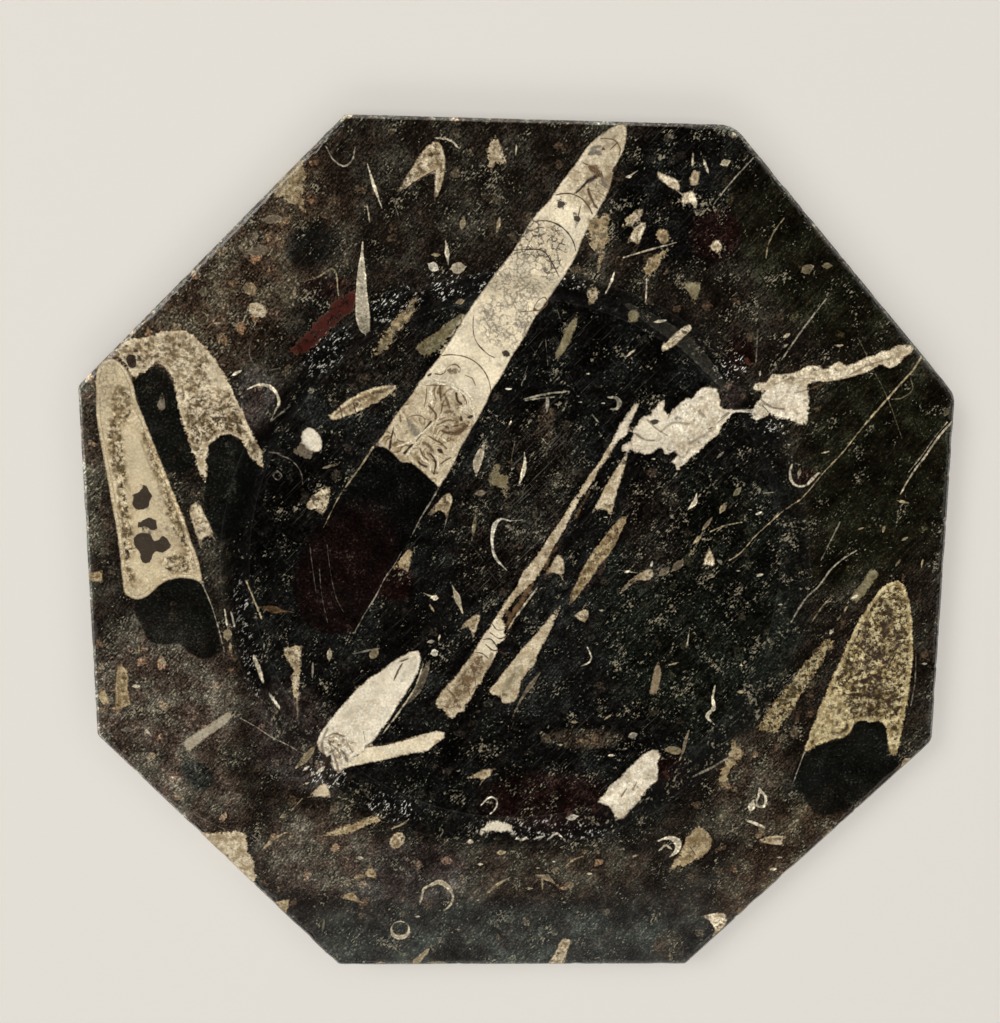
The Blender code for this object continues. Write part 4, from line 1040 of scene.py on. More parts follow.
@dataclass
class Plate:
    """The sawn and polished octagon with the well ground into its face. Sizes are in millimetres."""

    thickness: float = 12.0
    corners: tuple[Triple, ...] = (
        (54.5, 125.0, 9.0), (-51.0, 125.0, 1.2), (-125.0, 51.0, 3.0), (-124.0, -51.0, 2.5),
        (-54.0, -125.0, 1.2), (53.5, -125.0, 1.5), (125.0, -51.5, 4.0), (122.5, 53.0, 5.0),
    )
    corner_steps: int = 6
    # Each ring of an arris as its inset, and its drop below the face or its height above the back.
    face_arris: tuple[tuple[float, float], ...] = ((1.30, 0.0), (0.95, 0.10), (0.10, 0.95), (0.0, 1.30))
    back_arris: tuple[tuple[float, float], ...] = ((0.0, 0.8), (0.8, 0.0))
    side_rows: tuple[float, ...] = (9.1, 7.5, 5.9, 4.3, 2.7)
    well_centre: tuple[float, float] = (-1.5, -0.5)
    well_radius: float = 84.5
    well_depth: float = 5.0
    wall_run: float = 5.0
    lip_radius: float = 1.5
    cove_radius: float = 3.5
    floor_dish: float = 0.4
    # The steps of the well's section over half its floor, and over its cove as over its lip.
    floor_steps: int = 8
    bend_steps: int = 6
    # The spacing of the mesh's points, and the rings that it has on the well's wall.
    pitch: float = 1.0
    back_pitch: float = 3.2
    least_gap: float = 0.5
    ring_steps: int = 600
    wall_rings: tuple[float, ...] = (81.3, 82.2, 83.1)
    foot_rings: tuple[float, ...] = (1.1, 0.5)
    brim_rings: tuple[float, ...] = (0.6, 1.3)
    # How far other points stay off the wall's rings, inwards from its foot and outwards from its brim.
    guide_gaps: tuple[float, float] = (1.4, 1.7)
    grid_gaps: tuple[float, float] = (1.5, 1.8)
    border_gap: float = 0.6
    crease: float = 25.0
    # The chips along the face's arris, and the colour that it is bruised to, which is also a painted
    # highlight that is strongest at the upper left.
    nicks: int = 70
    nick_reach: tuple[float, float] = (0.8, 2.6)
    nick_depth: tuple[float, float] = (0.05, 0.28)
    grit: float = 0.03
    bruise_and_highlight: Triple = (0.20, 0.19, 0.17)
    bruise_gloss: float = 0.25
    # How rough the rim, the well, the sides and the back are, and what the wall adds to that.
    rim_gloss: float = 0.145
    well_gloss: float = 0.075
    side_gloss: float = 0.42
    back_gloss: float = 0.6
    wall_gloss: float = 0.45
    # What the rim's lower and left parts add to its roughness.
    low_gloss: float = 0.13
    left_gloss: float = 0.07
    # The amounts of specks, scratches and painted glints.
    face_habit: Triple = (0.45, 0.25, 0.0)
    back_habit: Triple = (0.3, 0.5, 0.0)
    seed: int = 11

    def outline(self, inset: float) -> Array:
        """Runs round the octagon with its worn corners, anticlockwise.

        Args:
            inset: How far the outline is moved in.

        Returns:
            One row of x and y per point. The number of points is the same for every inset.
        """
        tips = [Vector(corner[:2]) for corner in self.corners]
        arcs = []
        spans = []
        for i, tip in enumerate(tips):
            before = (tip - tips[i - 1]).normalized()
            after = (tips[(i + 1) % len(tips)] - tip).normalized()
            spans.append((tips[(i + 1) % len(tips)] - tip).length)
            bisector = (after - before).normalized()
            turn = before.angle(after)
            radius = max(self.corners[i][2] - inset, 0.2)
            tip = tip + bisector * (inset / math.cos(turn / 2))
            centre = tip - before * radius * math.tan(turn / 2) + Vector((-before.y, before.x)) * radius
            start = math.atan2(-before.x, before.y)
            angles = start + turn * np.arange(self.corner_steps + 1) / self.corner_steps
            arc = [centre.x + radius * np.cos(angles), centre.y + radius * np.sin(angles)]
            arcs.append(np.stack(arc, axis=1))
        points = []
        for i, arc in enumerate(arcs):
            pieces = round(spans[i] / self.pitch)
            t = (np.arange(1, pieces) / pieces)[:, None]
            points += [arc, arc[-1] * (1 - t) + arcs[(i + 1) % len(arcs)][0] * t]
        return np.concatenate(points)

    def section(self) -> tuple[list[float], list[float]]:
        """Gives half the section of the ground well, as radii from its axis and the heights there."""
        floor = self.thickness - self.well_depth
        lean = math.atan2(self.well_depth, self.wall_run)
        flat = self.well_radius - self.wall_run - self.cove_radius * math.tan(lean / 2)
        brim = self.well_radius + self.lip_radius * math.tan(lean / 2)
        radii = [flat * i / self.floor_steps for i in range(self.floor_steps)]
        heights = [floor - self.floor_dish * (1 - (r / flat) ** 2) for r in radii]
        last = self.bend_steps - 1
        for i in range(self.bend_steps):
            turn = lean * i / last
            radii.append(flat + self.cove_radius * math.sin(turn))
            heights.append(floor + self.cove_radius * (1 - math.cos(turn)))
        for i in range(self.bend_steps):
            turn = lean * (1 - i / last)
            radii.append(brim - self.lip_radius * math.sin(turn))
            heights.append(self.thickness - self.lip_radius * (1 - math.cos(turn)))
        return radii, heights

    def from_axis(self, at: Array) -> Array:
        """Gives the distance of each point from the well's axis."""
        return np.hypot(at[:, 0] - self.well_centre[0], at[:, 1] - self.well_centre[1])

    def off_wall(self, at: Array, gaps: tuple[float, float]) -> Array:
        """Says which points lie more than a gap inside the wall's foot or outside its brim."""
        radii, _ = self.section()
        axis = self.from_axis(at)
        return (axis < radii[self.floor_steps] - gaps[0]) | (axis > radii[-1] + gaps[1])

    def lattice(self, border: Array, pitch: float) -> Array:
        """Fills an outline with evenly spaced points.

        Args:
            border: The outline's points.
            pitch: The spacing.

        Returns:
            One row of x and y per point, none closer to the outline than about half the spacing.
        """
        reach = 130.0
        across = np.arange(-reach, reach, pitch)
        up = np.arange(-reach, reach, pitch * math.sqrt(0.75))
        x, y = np.meshgrid(across, up)
        x = x + (np.arange(len(up)) % 2)[:, None] * pitch / 2
        grid = np.stack([x.ravel(), y.ravel()], axis=1)
        least = pitch * 0.55
        return grid[depth_inside(border[::6], grid) > least]

    def rings(self) -> Array:
        """Gives the circles of points that carry the well's cove, wall and lip."""
        radii, _ = self.section()
        flat, brim = radii[self.floor_steps], radii[-1]
        cove, lip = radii[self.floor_steps:-self.bend_steps], radii[-self.bend_steps:]
        kept = [flat - gap for gap in self.foot_rings] + cove + list(self.wall_rings)
        kept += lip + [brim + gap for gap in self.brim_rings]
        circles = []
        for index, radius in enumerate(kept):
            angles = (np.arange(self.ring_steps) + 0.5 * (index % 2)) * math.tau / self.ring_steps
            circle = np.stack([radius * np.cos(angles), radius * np.sin(angles)], axis=1)
            circles.append(circle + self.well_centre)
        return np.concatenate(circles)

    def face_points(self, border: Array, guides: Array) -> Array:
        """Places the points of the polished face, the outline's first.

        Args:
            border: The outline where the face meets its arris.
            guides: Points that the drawing wants along its lines.

        Returns:
            One row of x and y per point.
        """
        inside = depth_inside(border[::6], guides) > self.border_gap
        guides = guides[inside & self.off_wall(guides, self.guide_gaps)]
        kept = []
        tree = sorted_places(guides)
        dropped = set()
        for index, (x, y) in enumerate(guides):
            if index in dropped:
                continue
            kept.append(index)
            close = tree.find_range((x, y, 0.0), self.least_gap)
            dropped.update(other for _, other, _ in close if other != index)
        guides = guides[kept]
        grid = self.lattice(border, self.pitch)
        grid = grid[self.off_wall(grid, self.grid_gaps)]
        tree = sorted_places(guides)
        clear = np.array([tree.find((x, y, 0.0))[2] > self.least_gap for x, y in grid])
        return np.concatenate([border, self.rings(), guides, grid[clear]])

    def tiles(self, points: Array, border: int) -> tuple[Array, Array]:
        """Joins points into triangles inside an outline.

        Args:
            points: The points, the outline's first.
            border: How many of them are the outline's.

        Returns:
            The points and the triangles, anticlockwise seen from above. The outline's points come first, in
            order.
        """
        edges = [(i, (i + 1) % border) for i in range(border)]
        weld = 1e-5
        places = [Vector(p) for p in points]
        found, _, faces, origin, _, _ = delaunay_2d_cdt(places, edges, [], 1, weld, True)
        found = np.array([tuple(p) for p in found])
        faces = np.array([tuple(f) for f in faces])
        place = {old: new for new, olds in enumerate(origin) for old in olds}
        order = np.array([place[i] for i in range(border)])
        rest = np.setdiff1d(np.arange(len(found)), order)
        order = np.concatenate([order, rest])
        where = np.empty(len(found), dtype=int)
        where[order] = np.arange(len(found))
        found, faces = found[order], where[faces]
        a, b, c = (found[faces[:, i]] for i in range(3))
        turned = (b[:, 0] - a[:, 0]) * (c[:, 1] - a[:, 1]) - (b[:, 1] - a[:, 1]) * (c[:, 0] - a[:, 0]) < 0
        faces[turned] = faces[turned][:, ::-1]
        return found, faces

    def nicked(self, ring: Array, drop: float) -> Array:
        """Moves one ring of the arris in where it is chipped.

        Args:
            ring: The ring's points, one row each.
            drop: How far below the face the ring lies.

        Returns:
            The ring with its chips.
        """
        dice = np.random.default_rng(self.seed)
        centre = dice.integers(0, len(ring), self.nicks)
        reach = dice.uniform(*self.nick_reach, self.nicks) ** 1.4
        depth = dice.uniform(*self.nick_depth, self.nicks) * (1.0 if drop < 1.0 else 0.6)
        inward = -ring / np.linalg.norm(ring, axis=1)[:, None]
        push = np.zeros(len(ring))
        for c, r, d in zip(centre, reach, depth):
            gap = np.linalg.norm(ring - ring[c], axis=1)
            push = np.maximum(push, d * np.clip(1 - (gap / r) ** 2, 0, 1))
        push += self.grit * dice.random(len(ring))
        return ring + inward * push[:, None]

    def build(self, face: Drawing, back: Drawing) -> bpy.types.Object:
        """Makes the whole plate with everything that its finish reads.

        Args:
            face: What is drawn on the polished face. It runs on down the sides.
            back: What is drawn on the sawn back.

        Returns:
            The new object, linked to the scene, without a material.
        """
        border = self.outline(self.face_arris[0][0])
        count = len(border)
        top, faces = self.tiles(self.face_points(border, face.guides()), count)
        height = np.interp(self.from_axis(top), *self.section())
        layers = [np.column_stack([top, height])]
        rings = [(inset, self.thickness - drop) for inset, drop in self.face_arris[1:]]
        rings += [(0.0, z) for z in self.side_rows] + [(inset, z) for inset, z in self.back_arris[:1]]
        start = len(top)
        upper = np.arange(count)
        triangles = [faces]
        for inset, z in rings:
            ring = self.outline(inset)
            if z > self.side_rows[0]:
                ring = self.nicked(ring, self.thickness - z)
            layers.append(np.column_stack([ring, np.full(count, z)]))
            lower = start + np.arange(count)
            triangles += self.band(upper, lower)
            upper = lower
            start += count
        rim = self.outline(self.back_arris[1][0])
        under, under_faces = self.tiles(np.concatenate([rim, self.lattice(rim, self.back_pitch)]), count)
        layers.append(np.column_stack([under, np.zeros(len(under))]))
        triangles += self.band(upper, start + np.arange(count))
        triangles.append(under_faces[:, ::-1] + start)
        points, faces = np.concatenate(layers), np.concatenate(triangles)
        mesh = bpy.data.meshes.new("limestone_plate")
        mesh.from_pydata((points * MM).tolist(), [], faces.tolist())
        mesh.shade_smooth()
        mesh.set_sharp_from_angle(angle=math.radians(self.crease))
        self.inscribe(mesh, points, faces, start, face, back)
        LOG.info("limestone_plate: %d points, %d triangles", len(points), len(faces))
        return placed("limestone_plate", mesh)

    def band(self, upper: Array, lower: Array) -> list[Array]:
        """Joins two rings of point indices by triangles that face outwards."""
        next_up, next_low = np.roll(upper, -1), np.roll(lower, -1)
        return [np.stack([next_up, upper, lower], axis=1), np.stack([next_up, lower, next_low], axis=1)]

    def inscribe(
        self, mesh: bpy.types.Mesh, points: Array, faces: Array, turn: int, face: Drawing, back: Drawing
    ) -> None:
        """Writes onto the mesh what its finish reads.

        Args:
            mesh: The plate's mesh.
            points: Its points in millimetres.
            faces: Its triangles.
            turn: The index of the first point of the back.
            face: What is drawn on the face and sides.
            back: What is drawn on the back.
        """
        at = points[:, :2].copy()
        parts = ((face, slice(0, turn)), (back, slice(turn, len(points))))
        tone, habit, gloss = self.bare_stone(points, turn)
        face.spread(face.ground, at[:turn], tone[:turn], habit[:turn])
        edge = {name: np.full(len(points), FAR) for name in ("calcite_edge", "mud_edge", "hole_edge")}
        edge["rag"] = np.zeros(len(points))
        edge["wall"] = np.zeros(len(points))
        colour = {name: np.zeros((len(points), 3)) for name in ("calcite_tone", "mud_tone", "calcite_habit")}
        for drawing, part in parts:
            depth, owner = drawing.depth(drawing.fossils, at[part])
            edge["calcite_edge"][part] = depth
            shapes = [drawing.fossils[i] for i in owner]
            colour["calcite_tone"][part] = [shape.tone.value for shape in shapes]
            colour["calcite_habit"][part] = [(shape.freckles, shape.veil, 0.0) for shape in shapes]
            drawing.spread(
                drawing.blooms, at[part], colour["calcite_tone"][part], colour["calcite_habit"][part])
            edge["wall"][part] = [shape.wall for shape in shapes]
            edge["rag"][part] = [shape.rag for shape in shapes]
            if drawing.chambers:
                depth, owner = drawing.depth(drawing.chambers, at[part])
                edge["mud_edge"][part] = depth
                colour["mud_tone"][part] = [drawing.chambers[i].tone.value for i in owner]
                drawing.spread(drawing.mud, at[part], colour["mud_tone"][part], np.zeros((turn, 3)))
                edge["hole_edge"][part] = drawing.depth(drawing.holes, at[part])[0]
        # The arris is paled as worn stone and, most at its upper left, as a painted highlight.
        arris = self.arris_wear_and_highlight(points)
        tone += arris[:, None] * np.array(self.bruise_and_highlight)
        gloss += arris * self.bruise_gloss
        for name, values in edge.items():
            carry(mesh, name, "POINT", values)
        for name, values in colour.items():
            carry(mesh, name, "POINT", values)
        carry(mesh, "ground_tone", "POINT", tone)
        carry(mesh, "ground_habit", "POINT", habit)
        carry(mesh, "gloss", "POINT", gloss)
        far_away = 900.0
        at[turn:] = far_away
        for kind, marks in (("pale", face.pale), ("dark", face.dark)):
            for letter, (reading, hue) in zip("ab", face.strokes(marks, at, faces)):
                carry(mesh, f"{kind}_{letter}", "CORNER", reading)
                carry(mesh, f"{kind}_{letter}_tone", "FACE", hue)

    def bare_stone(self, points: Array, turn: int) -> tuple[Array, Array, Array]:
        """Sets out the plain stone before anything is drawn on it.

        Args:
            points: The mesh's points in millimetres.
            turn: The index of the first point of the back.

        Returns:
            Each point's colour, darkened on the well's wall as painted shade, its amounts of specks,
            scratches and painted glints, and its roughness.
        """
        axis = self.from_axis(points)
        in_well = np.clip((self.well_radius - axis) / 3.0, 0.0, 1.0)
        rim, well = np.array(Tone.EARTH.value), np.array(Tone.JET.value) * 1.8
        tone = rim * (1 - in_well)[:, None] + well * in_well[:, None]
        # The well's wall is painted darker than what lies round it, as painted shade, and it is matt.
        shaded = np.clip(1.8 - np.abs(axis - 82.0) / 2.5, 0.0, 1.0)
        matt = np.clip((3.9 - np.abs(axis - 81.5)) / 0.6, 0.0, 1.0)
        tone *= 1 - 0.5 * shaded[:, None]
        low = np.clip((-70.0 - points[:, 1]) / 40.0, 0.0, 1.0)
        left = np.clip((-60.0 - points[:, 0]) / 50.0, 0.0, 1.0)
        gloss = self.rim_gloss + self.low_gloss * low + self.left_gloss * left
        gloss = gloss * (1 - in_well) + self.well_gloss * in_well
        gloss += self.wall_gloss * matt
        below_arris, past_well = self.thickness - 2.0, self.well_radius + 3.5
        gloss[(points[:, 2] < below_arris) & (axis >= past_well)] = self.side_gloss
        habit = np.tile(self.face_habit, (len(points), 1))
        tone[turn:] = Tone.PEAT.value
        gloss[turn:] = self.back_gloss
        habit[turn:] = self.back_habit
        return tone, habit, gloss

    def arris_wear_and_highlight(self, points: Array) -> Array:
        """Gives how much each point is paled along the face's arris, as worn stone and as a painted
        highlight that is strongest at its upper left.
        """
        drop = self.thickness - points[:, 2]
        middle, fade = 0.55, 1.2
        wear = np.clip(1 - np.abs(drop - middle) / fade, 0.0, 1.0)
        well_reach, arris_reach = 100.0, 1.25
        wear[self.from_axis(points) < well_reach] = 0.0
        wear[depth_inside(self.outline(0.0)[::4], points[:, :2]) > arris_reach] = 0.0
        # The upper left is paler as a painted highlight.
        return wear * np.clip(0.55 + 0.004 * (points[:, 1] - points[:, 0]), 0.25, 1.0)


def placed(name: str, data: bpy.types.ID) -> bpy.types.Object:
    """Puts a new object with some data in the scene."""
    new = bpy.data.objects.new(name, data)
    bpy.context.scene.collection.objects.link(new)
    return new


def carry(mesh: bpy.types.Mesh, name: str, domain: str, values: Array) -> None:
    """Stores numbers or vectors on a mesh.

    Args:
        mesh: The mesh.
        name: The attribute's name.
        domain: What each value belongs to, as Blender calls it.
        values: One number or one row of three for each.
    """
    plain = values.ndim == 1
    layer = mesh.attributes.new(name, "FLOAT" if plain else "FLOAT_VECTOR", domain)
    flat = np.ascontiguousarray(values, dtype=np.float32).ravel()
    layer.data.foreach_set("value" if plain else "vector", flat)


class Wire:
    """A number or colour on its way through a material, with arithmetic that adds the nodes it needs."""

    def __init__(self, bench: "Bench", socket: bpy.types.NodeSocket) -> None:
        """Wraps one output socket."""
        self.bench = bench
        self.socket = socket

    def maths(self, operation: str, *others: "Wire | float", swap: bool = False) -> "Wire":
        """Adds one Math node.

        Args:
            operation: Blender's name for the operation.
            others: The further inputs.
            swap: Whether the first two inputs change places.

        Returns:
            The node's result.
        """
        inputs = [self, *others]
        if swap:
            inputs[0], inputs[1] = inputs[1], inputs[0]
        return self.bench.node("ShaderNodeMath", {"operation": operation}, dict(enumerate(inputs)))

    def __add__(self, other: "Wire | float") -> "Wire":
        """Adds."""
        return self.maths("ADD", other)

    __radd__ = __add__

    def __sub__(self, other: "Wire | float") -> "Wire":
        """Subtracts."""
        return self.maths("SUBTRACT", other)

    def __rsub__(self, other: float) -> "Wire":
        """Subtracts from a number."""
        return self.maths("SUBTRACT", other, swap=True)

    def __mul__(self, other: "Wire | float") -> "Wire":
        """Multiplies."""
        return self.maths("MULTIPLY", other)

    __rmul__ = __mul__

    def __truediv__(self, other: "Wire | float") -> "Wire":
        """Divides."""
        return self.maths("DIVIDE", other)

    def __rpow__(self, other: float) -> "Wire":
        """Raises a number to this power."""
        return self.maths("POWER", other, swap=True)

    def __abs__(self) -> "Wire":
        """Drops the sign."""
        return self.maths("ABSOLUTE")

    def least(self, other: "Wire | float") -> "Wire":
        """Gives the smaller of the two."""
        return self.maths("MINIMUM", other)

    def most(self, other: "Wire | float") -> "Wire":
        """Gives the larger of the two."""
        return self.maths("MAXIMUM", other)

    def rise(self, low: "Wire | float", high: "Wire | float") -> "Wire":
        """Runs smoothly from 0 at low to 1 at high."""
        settings = {"interpolation_type": "SMOOTHSTEP"}
        sockets = {"Value": self, "From Min": low, "From Max": high}
        return self.bench.node("ShaderNodeMapRange", settings, sockets)

    def dimmed(self, amount: "Wire | float") -> "Wire":
        """Scales a colour or vector."""
        sockets = {"Vector": self, "Scale": amount}
        return self.bench.node("ShaderNodeVectorMath", {"operation": "SCALE"}, sockets)

    def times(self, factors: Triple) -> "Wire":
        """Multiplies a colour or vector part by part."""
        return self.bench.node("ShaderNodeVectorMath", {"operation": "MULTIPLY"}, {0: self, 1: factors})

    def under(self, colour: "Wire | Triple", cover: "Wire | float") -> "Wire":
        """Lays another colour over this one.

        Args:
            colour: The colour on top.
            cover: How much of it shows, from 0 to 1.

        Returns:
            The mixed colour.
        """
        return self.bench.node("ShaderNodeMix", {"data_type": "RGBA"}, {"Factor": cover, 6: self, 7: colour})


class Bench:
    """Adds nodes to one material or world."""

    def __init__(self, owner: bpy.types.Material | bpy.types.World) -> None:
        """Opens the owner's nodes."""
        owner.use_nodes = True
        self.tree = owner.node_tree

    def node(self, kind: str, settings: dict, sockets: dict, output: str = "") -> Wire:
        """Adds one node.

        Args:
            kind: The node's type.
            settings: Its properties, which are set first.
            sockets: Numbers, colours or wires by the name or index of each input.
            output: The name of the output to read, where it isn't the first.

        Returns:
            The node's result.
        """
        node = self.tree.nodes.new(kind)
        for name, value in settings.items():
            setattr(node, name, value)
        self.fill(node, sockets)
        usable = [socket for socket in node.outputs if socket.enabled]
        return Wire(self, node.outputs[output] if output else usable[0])

    def fill(self, node: bpy.types.Node, sockets: dict) -> None:
        """Links or sets inputs of one node, by their names or indices."""
        for name, value in sockets.items():
            socket = node.inputs[name]
            if isinstance(value, Wire):
                self.tree.links.new(value.socket, socket)
            elif isinstance(value, tuple) and len(value) == 3 and socket.type == "RGBA":
                socket.default_value = (*value, 1.0)
            else:
                socket.default_value = value

    def number(self, name: str) -> Wire:
        """Reads a number that the mesh carries."""
        return self.node("ShaderNodeAttribute", {"attribute_name": name}, {}, "Fac")

    def triple(self, name: str) -> Wire:
        """Reads a colour or vector that the mesh carries."""
        return self.node("ShaderNodeAttribute", {"attribute_name": name}, {}, "Vector")

    def split(self, triple: Wire) -> tuple[Wire, Wire, Wire]:
        """Takes a vector apart."""
        node = self.node("ShaderNodeSeparateXYZ", {}, {0: triple}).socket.node
        return tuple(Wire(self, node.outputs[i]) for i in range(3))

    def noise(self, at: Wire, per_mm: float, detail: float = 2.0, rough: float = 0.5) -> Wire:
        """Adds cloudy noise about one half.

        Args:
            at: Where, in millimetres.
            per_mm: How many lumps there are in a millimetre.
            detail: How many finer layers it has.
            rough: How strong the finer layers are.

        Returns:
            The noise, spread by the same amount whatever its detail.
        """
        layers = [rough**layer for layer in range(int(detail) + 1)]
        gain = sum(layers) / math.hypot(*layers)
        sockets = {"Vector": at, "Scale": per_mm, "Detail": detail, "Roughness": rough}
        return (self.node("ShaderNodeTexNoise", {}, sockets) - 0.5) * gain + 0.5

    def grains(self, at: Wire, per_mm: float) -> tuple[Wire, Wire]:
        """Scatters grains.

        Args:
            at: Where, in millimetres.
            per_mm: How many grains there are along a millimetre.

        Returns:
            The distance to the nearest grain in cells, and a number that is random for each grain.
        """
        sockets = {"Vector": at, "Scale": per_mm, "Randomness": 0.95}
        distance = self.node("ShaderNodeTexVoronoi", {}, sockets)
        chance = self.split(Wire(self, distance.socket.node.outputs["Color"]))[0]
        return distance, chance


@dataclass(frozen=True)
class Spot:
    """A place on the stone in millimetres, with the noises there, from the finest to the broadest."""

    bench: Bench
    at: Wire
    grain: Wire
    fleck: Wire
    middle: Wire
    cluster: Wire
    broad: Wire

    def crumble(self) -> Wire:
        """Gives the noise that frays edges, about zero."""
        return (self.fleck - 0.5) * 2.2 + (self.grain - 0.5) * 1.6


@dataclass(frozen=True)
class Limestone:
    """Polished black limestone with its calcite fossils, mud-filled chambers and hash of broken shell."""

    index: float = 1.48
    crumb_colour: Triple = (0.31, 0.27, 0.19)
    scratch_colour: Triple = (0.105, 0.10, 0.085)
    mottle_colour: Triple = (0.150, 0.098, 0.042)
    deep_mottle_colour: Triple = (0.022, 0.020, 0.010)
    freckle_colour: Triple = (0.070, 0.040, 0.016)
    dark_freckle_colour: Triple = (0.016, 0.013, 0.008)
    veil_colour: Triple = (0.11, 0.095, 0.075)
    crackle_colour: Triple = (0.075, 0.052, 0.036)
    painted_glint_colour: Triple = (0.80, 0.78, 0.72)
    hole_colour: Triple = (0.016, 0.009, 0.008)
    fold_colour: Triple = (0.47, 0.38, 0.24)
    crease_colour: Triple = (0.27, 0.185, 0.085)
    deep_crease_colour: Triple = (0.075, 0.040, 0.018)
    wall_line_colour: Triple = (0.12, 0.075, 0.04)
    rim_colour: Triple = (0.13, 0.085, 0.045)

    def material(self) -> bpy.types.Material:
        """Builds the finish. Where the stone is rougher than its polish, a dull shader is mixed in."""
        finish = bpy.data.materials.new("polished_limestone")
        bench = Bench(finish)
        at = bench.node("ShaderNodeTexCoord", {}, {}, "Object").dimmed(1.0 / MM)
        # Lumps in a millimetre, finer layers and their strength.
        layers = ((1.5, 4.0, 0.65), (0.5, 4.0, 0.62), (0.32, 4.0, 0.65), (0.15, 3.0, 0.6), (0.085, 3.0, 0.6))
        spot = Spot(bench, at, *(bench.noise(at, *layer) for layer in layers))
        grain, fleck, crumble = spot.grain, spot.fleck, spot.crumble()
        colour = self.mud(spot, self.ground(spot), crumble)
        depth = bench.number("calcite_edge") + crumble * bench.number("rag")
        thin = bench.number("rag").rise(0.55, 1.0) * (1 - fleck.rise(0.34, 0.56))
        calcite = depth.rise(-0.2, 0.2) * (1 - thin * 0.75)
        hole = (bench.number("hole_edge") + crumble * 0.22).rise(-0.12, 0.12)
        colour = colour.under(self.calcite(spot, depth), calcite)
        colour = colour.under(self.hole_colour, hole * 0.94)
        pale = None
        for name in ("dark_b", "dark_a", "pale_b", "pale_a"):
            light = name.startswith("pale")
            cover, heart = self.stroke(spot, name, crumble)
            if light:
                pale = cover if pale is None else pale.most(cover)
            swing = 2.6 - calcite * 1.9 if light else 1.6
            shade = (fleck - 0.5) * swing + (grain - 0.5) * 1.5 - heart * 0.6
            if light:
                shade = shade - 0.28 + calcite * 0.20
            colour = colour.under(bench.triple(f"{name}_tone").dimmed(math.e**shade), cover)
        solid = calcite.most(pale) * (1 - hole)
        shader = bench.tree.nodes["Principled BSDF"]
        bench.fill(shader, {
            "Base Color": colour, "Roughness": self.gloss(spot, solid), "Normal": self.relief(spot),
            "IOR": self.index})
        dull = bench.node("ShaderNodeBsdfPrincipled", {}, {
            "Base Color": colour, "Roughness": 1.0, "Specular IOR Level": 0.0})
        share = bench.number("gloss").rise(0.34, 0.5) * 0.85
        blend = bench.node("ShaderNodeMixShader", {}, {0: share, 1: Wire(bench, shader.outputs[0]), 2: dull})
        bench.fill(bench.tree.nodes["Material Output"], {"Surface": blend})
        return finish

    def ground(self, spot: Spot) -> Wire:
        """Builds the dark stone with its pebbles, crumbs of shell, scratches and painted glints.

        Args:
            spot: Where the stone is worked out.

        Returns:
            Its colour.
        """
        bench, at = spot.bench, spot.at
        specks, scratches, glints = bench.split(bench.triple("ground_habit"))
        grain, middle, cluster, broad = spot.grain, spot.middle, spot.cluster, spot.broad
        streaky = self.lined(spot, -0.85, 0.75, 2.1)
        grained = self.lined(spot, -0.85, 0.13, 0.9)
        swing = 2.4 + specks * 0.8 + scratches * 2.2
        level = (grain - 0.5) * swing + (streaky - 0.5) * swing * 0.8 + (middle - 0.5) * 1.6
        level = level + (broad - 0.5) * 3.0 + (grained - 0.5) * 1.6
        tone = bench.triple("ground_tone")
        hue = (cluster * 0.5 + broad * 0.5).rise(0.40, 0.60)
        tone = tone.times((1.10, 0.99, 0.92)).under(tone.times((0.92, 1.03, 0.98)), hue)
        colour = tone.dimmed(math.e**level)
        gap, chance = bench.grains(at, 0.24)
        pebble = 1 - (gap + (middle - 0.5) * 1.1).rise(0.16, 0.36)
        pebble = pebble * chance.rise(0.98 - specks * 0.40, 1.0 - specks * 0.40)
        shade = math.e ** ((grain - 0.5) * 4.0 + chance * 1.9)
        colour = colour.under(tone.times((1.1, 0.98, 0.84)).dimmed(shade), pebble * 0.7)
        patch = bench.noise(at, 0.6, 2.0, 0.5)
        crumbs = (streaky - 0.5) * 0.75 + (grain - 0.5) * 0.75 + (cluster - 0.5) * 0.85 + specks * 0.13
        crumbs = crumbs.rise(0.34, 0.46) * (0.10 + patch.rise(0.3, 0.7) * 0.75)
        colour = colour.under(self.crumb_colour, crumbs)
        for turn, share in ((-0.80, 1.0), (0.9, 0.4)):
            scratch = self.lined(spot, turn, 0.075, 2.3).rise(0.66, 0.86)
            scratch = scratch * scratches * 0.7 * share * grained.rise(0.3, 0.6)
            colour = colour.under(self.scratch_colour, scratch)
        # White specks painted as glints: light caught by crystals, not a colour of the stone.
        painted_glint = streaky.rise(0.60, 0.66) * patch.rise(0.46, 0.60) * glints.rise(0.0, 0.7)
        return colour.under(self.painted_glint_colour, painted_glint)

    def lined(self, spot: Spot, turn: float, along: float, across: float) -> Wire:
        """Draws noise out into strokes.

        Args:
            spot: Where the stone is worked out.
            turn: The strokes' direction, in radians clockwise from +X.
            along: How many lumps there are in a millimetre along a stroke.
            across: The same across it.

        Returns:
            The noise.
        """
        about_z = {"rotation_type": "Z_AXIS"}
        turned = spot.bench.node("ShaderNodeVectorRotate", about_z, {"Vector": spot.at, "Angle": turn})
        return spot.bench.noise(turned.times((along, across, 1.0)), 1.0, 2.0, 0.6)

    def mud(self, spot: Spot, colour: Wire, crumble: Wire) -> Wire:
        """Lays the mud that filled the fossils' open chambers.

        Args:
            spot: Where the stone is worked out.
            colour: The stone underneath.
            crumble: The noise that frays edges.

        Returns:
            The colour with the mud.
        """
        depth = spot.bench.number("mud_edge") + crumble * 0.35
        level = math.e ** ((spot.grain - 0.5) * 4.0 + (spot.cluster - 0.5) * 2.5 - 0.3)
        return colour.under(spot.bench.triple("mud_tone").dimmed(level), depth.rise(-0.3, 0.3) * 0.9)

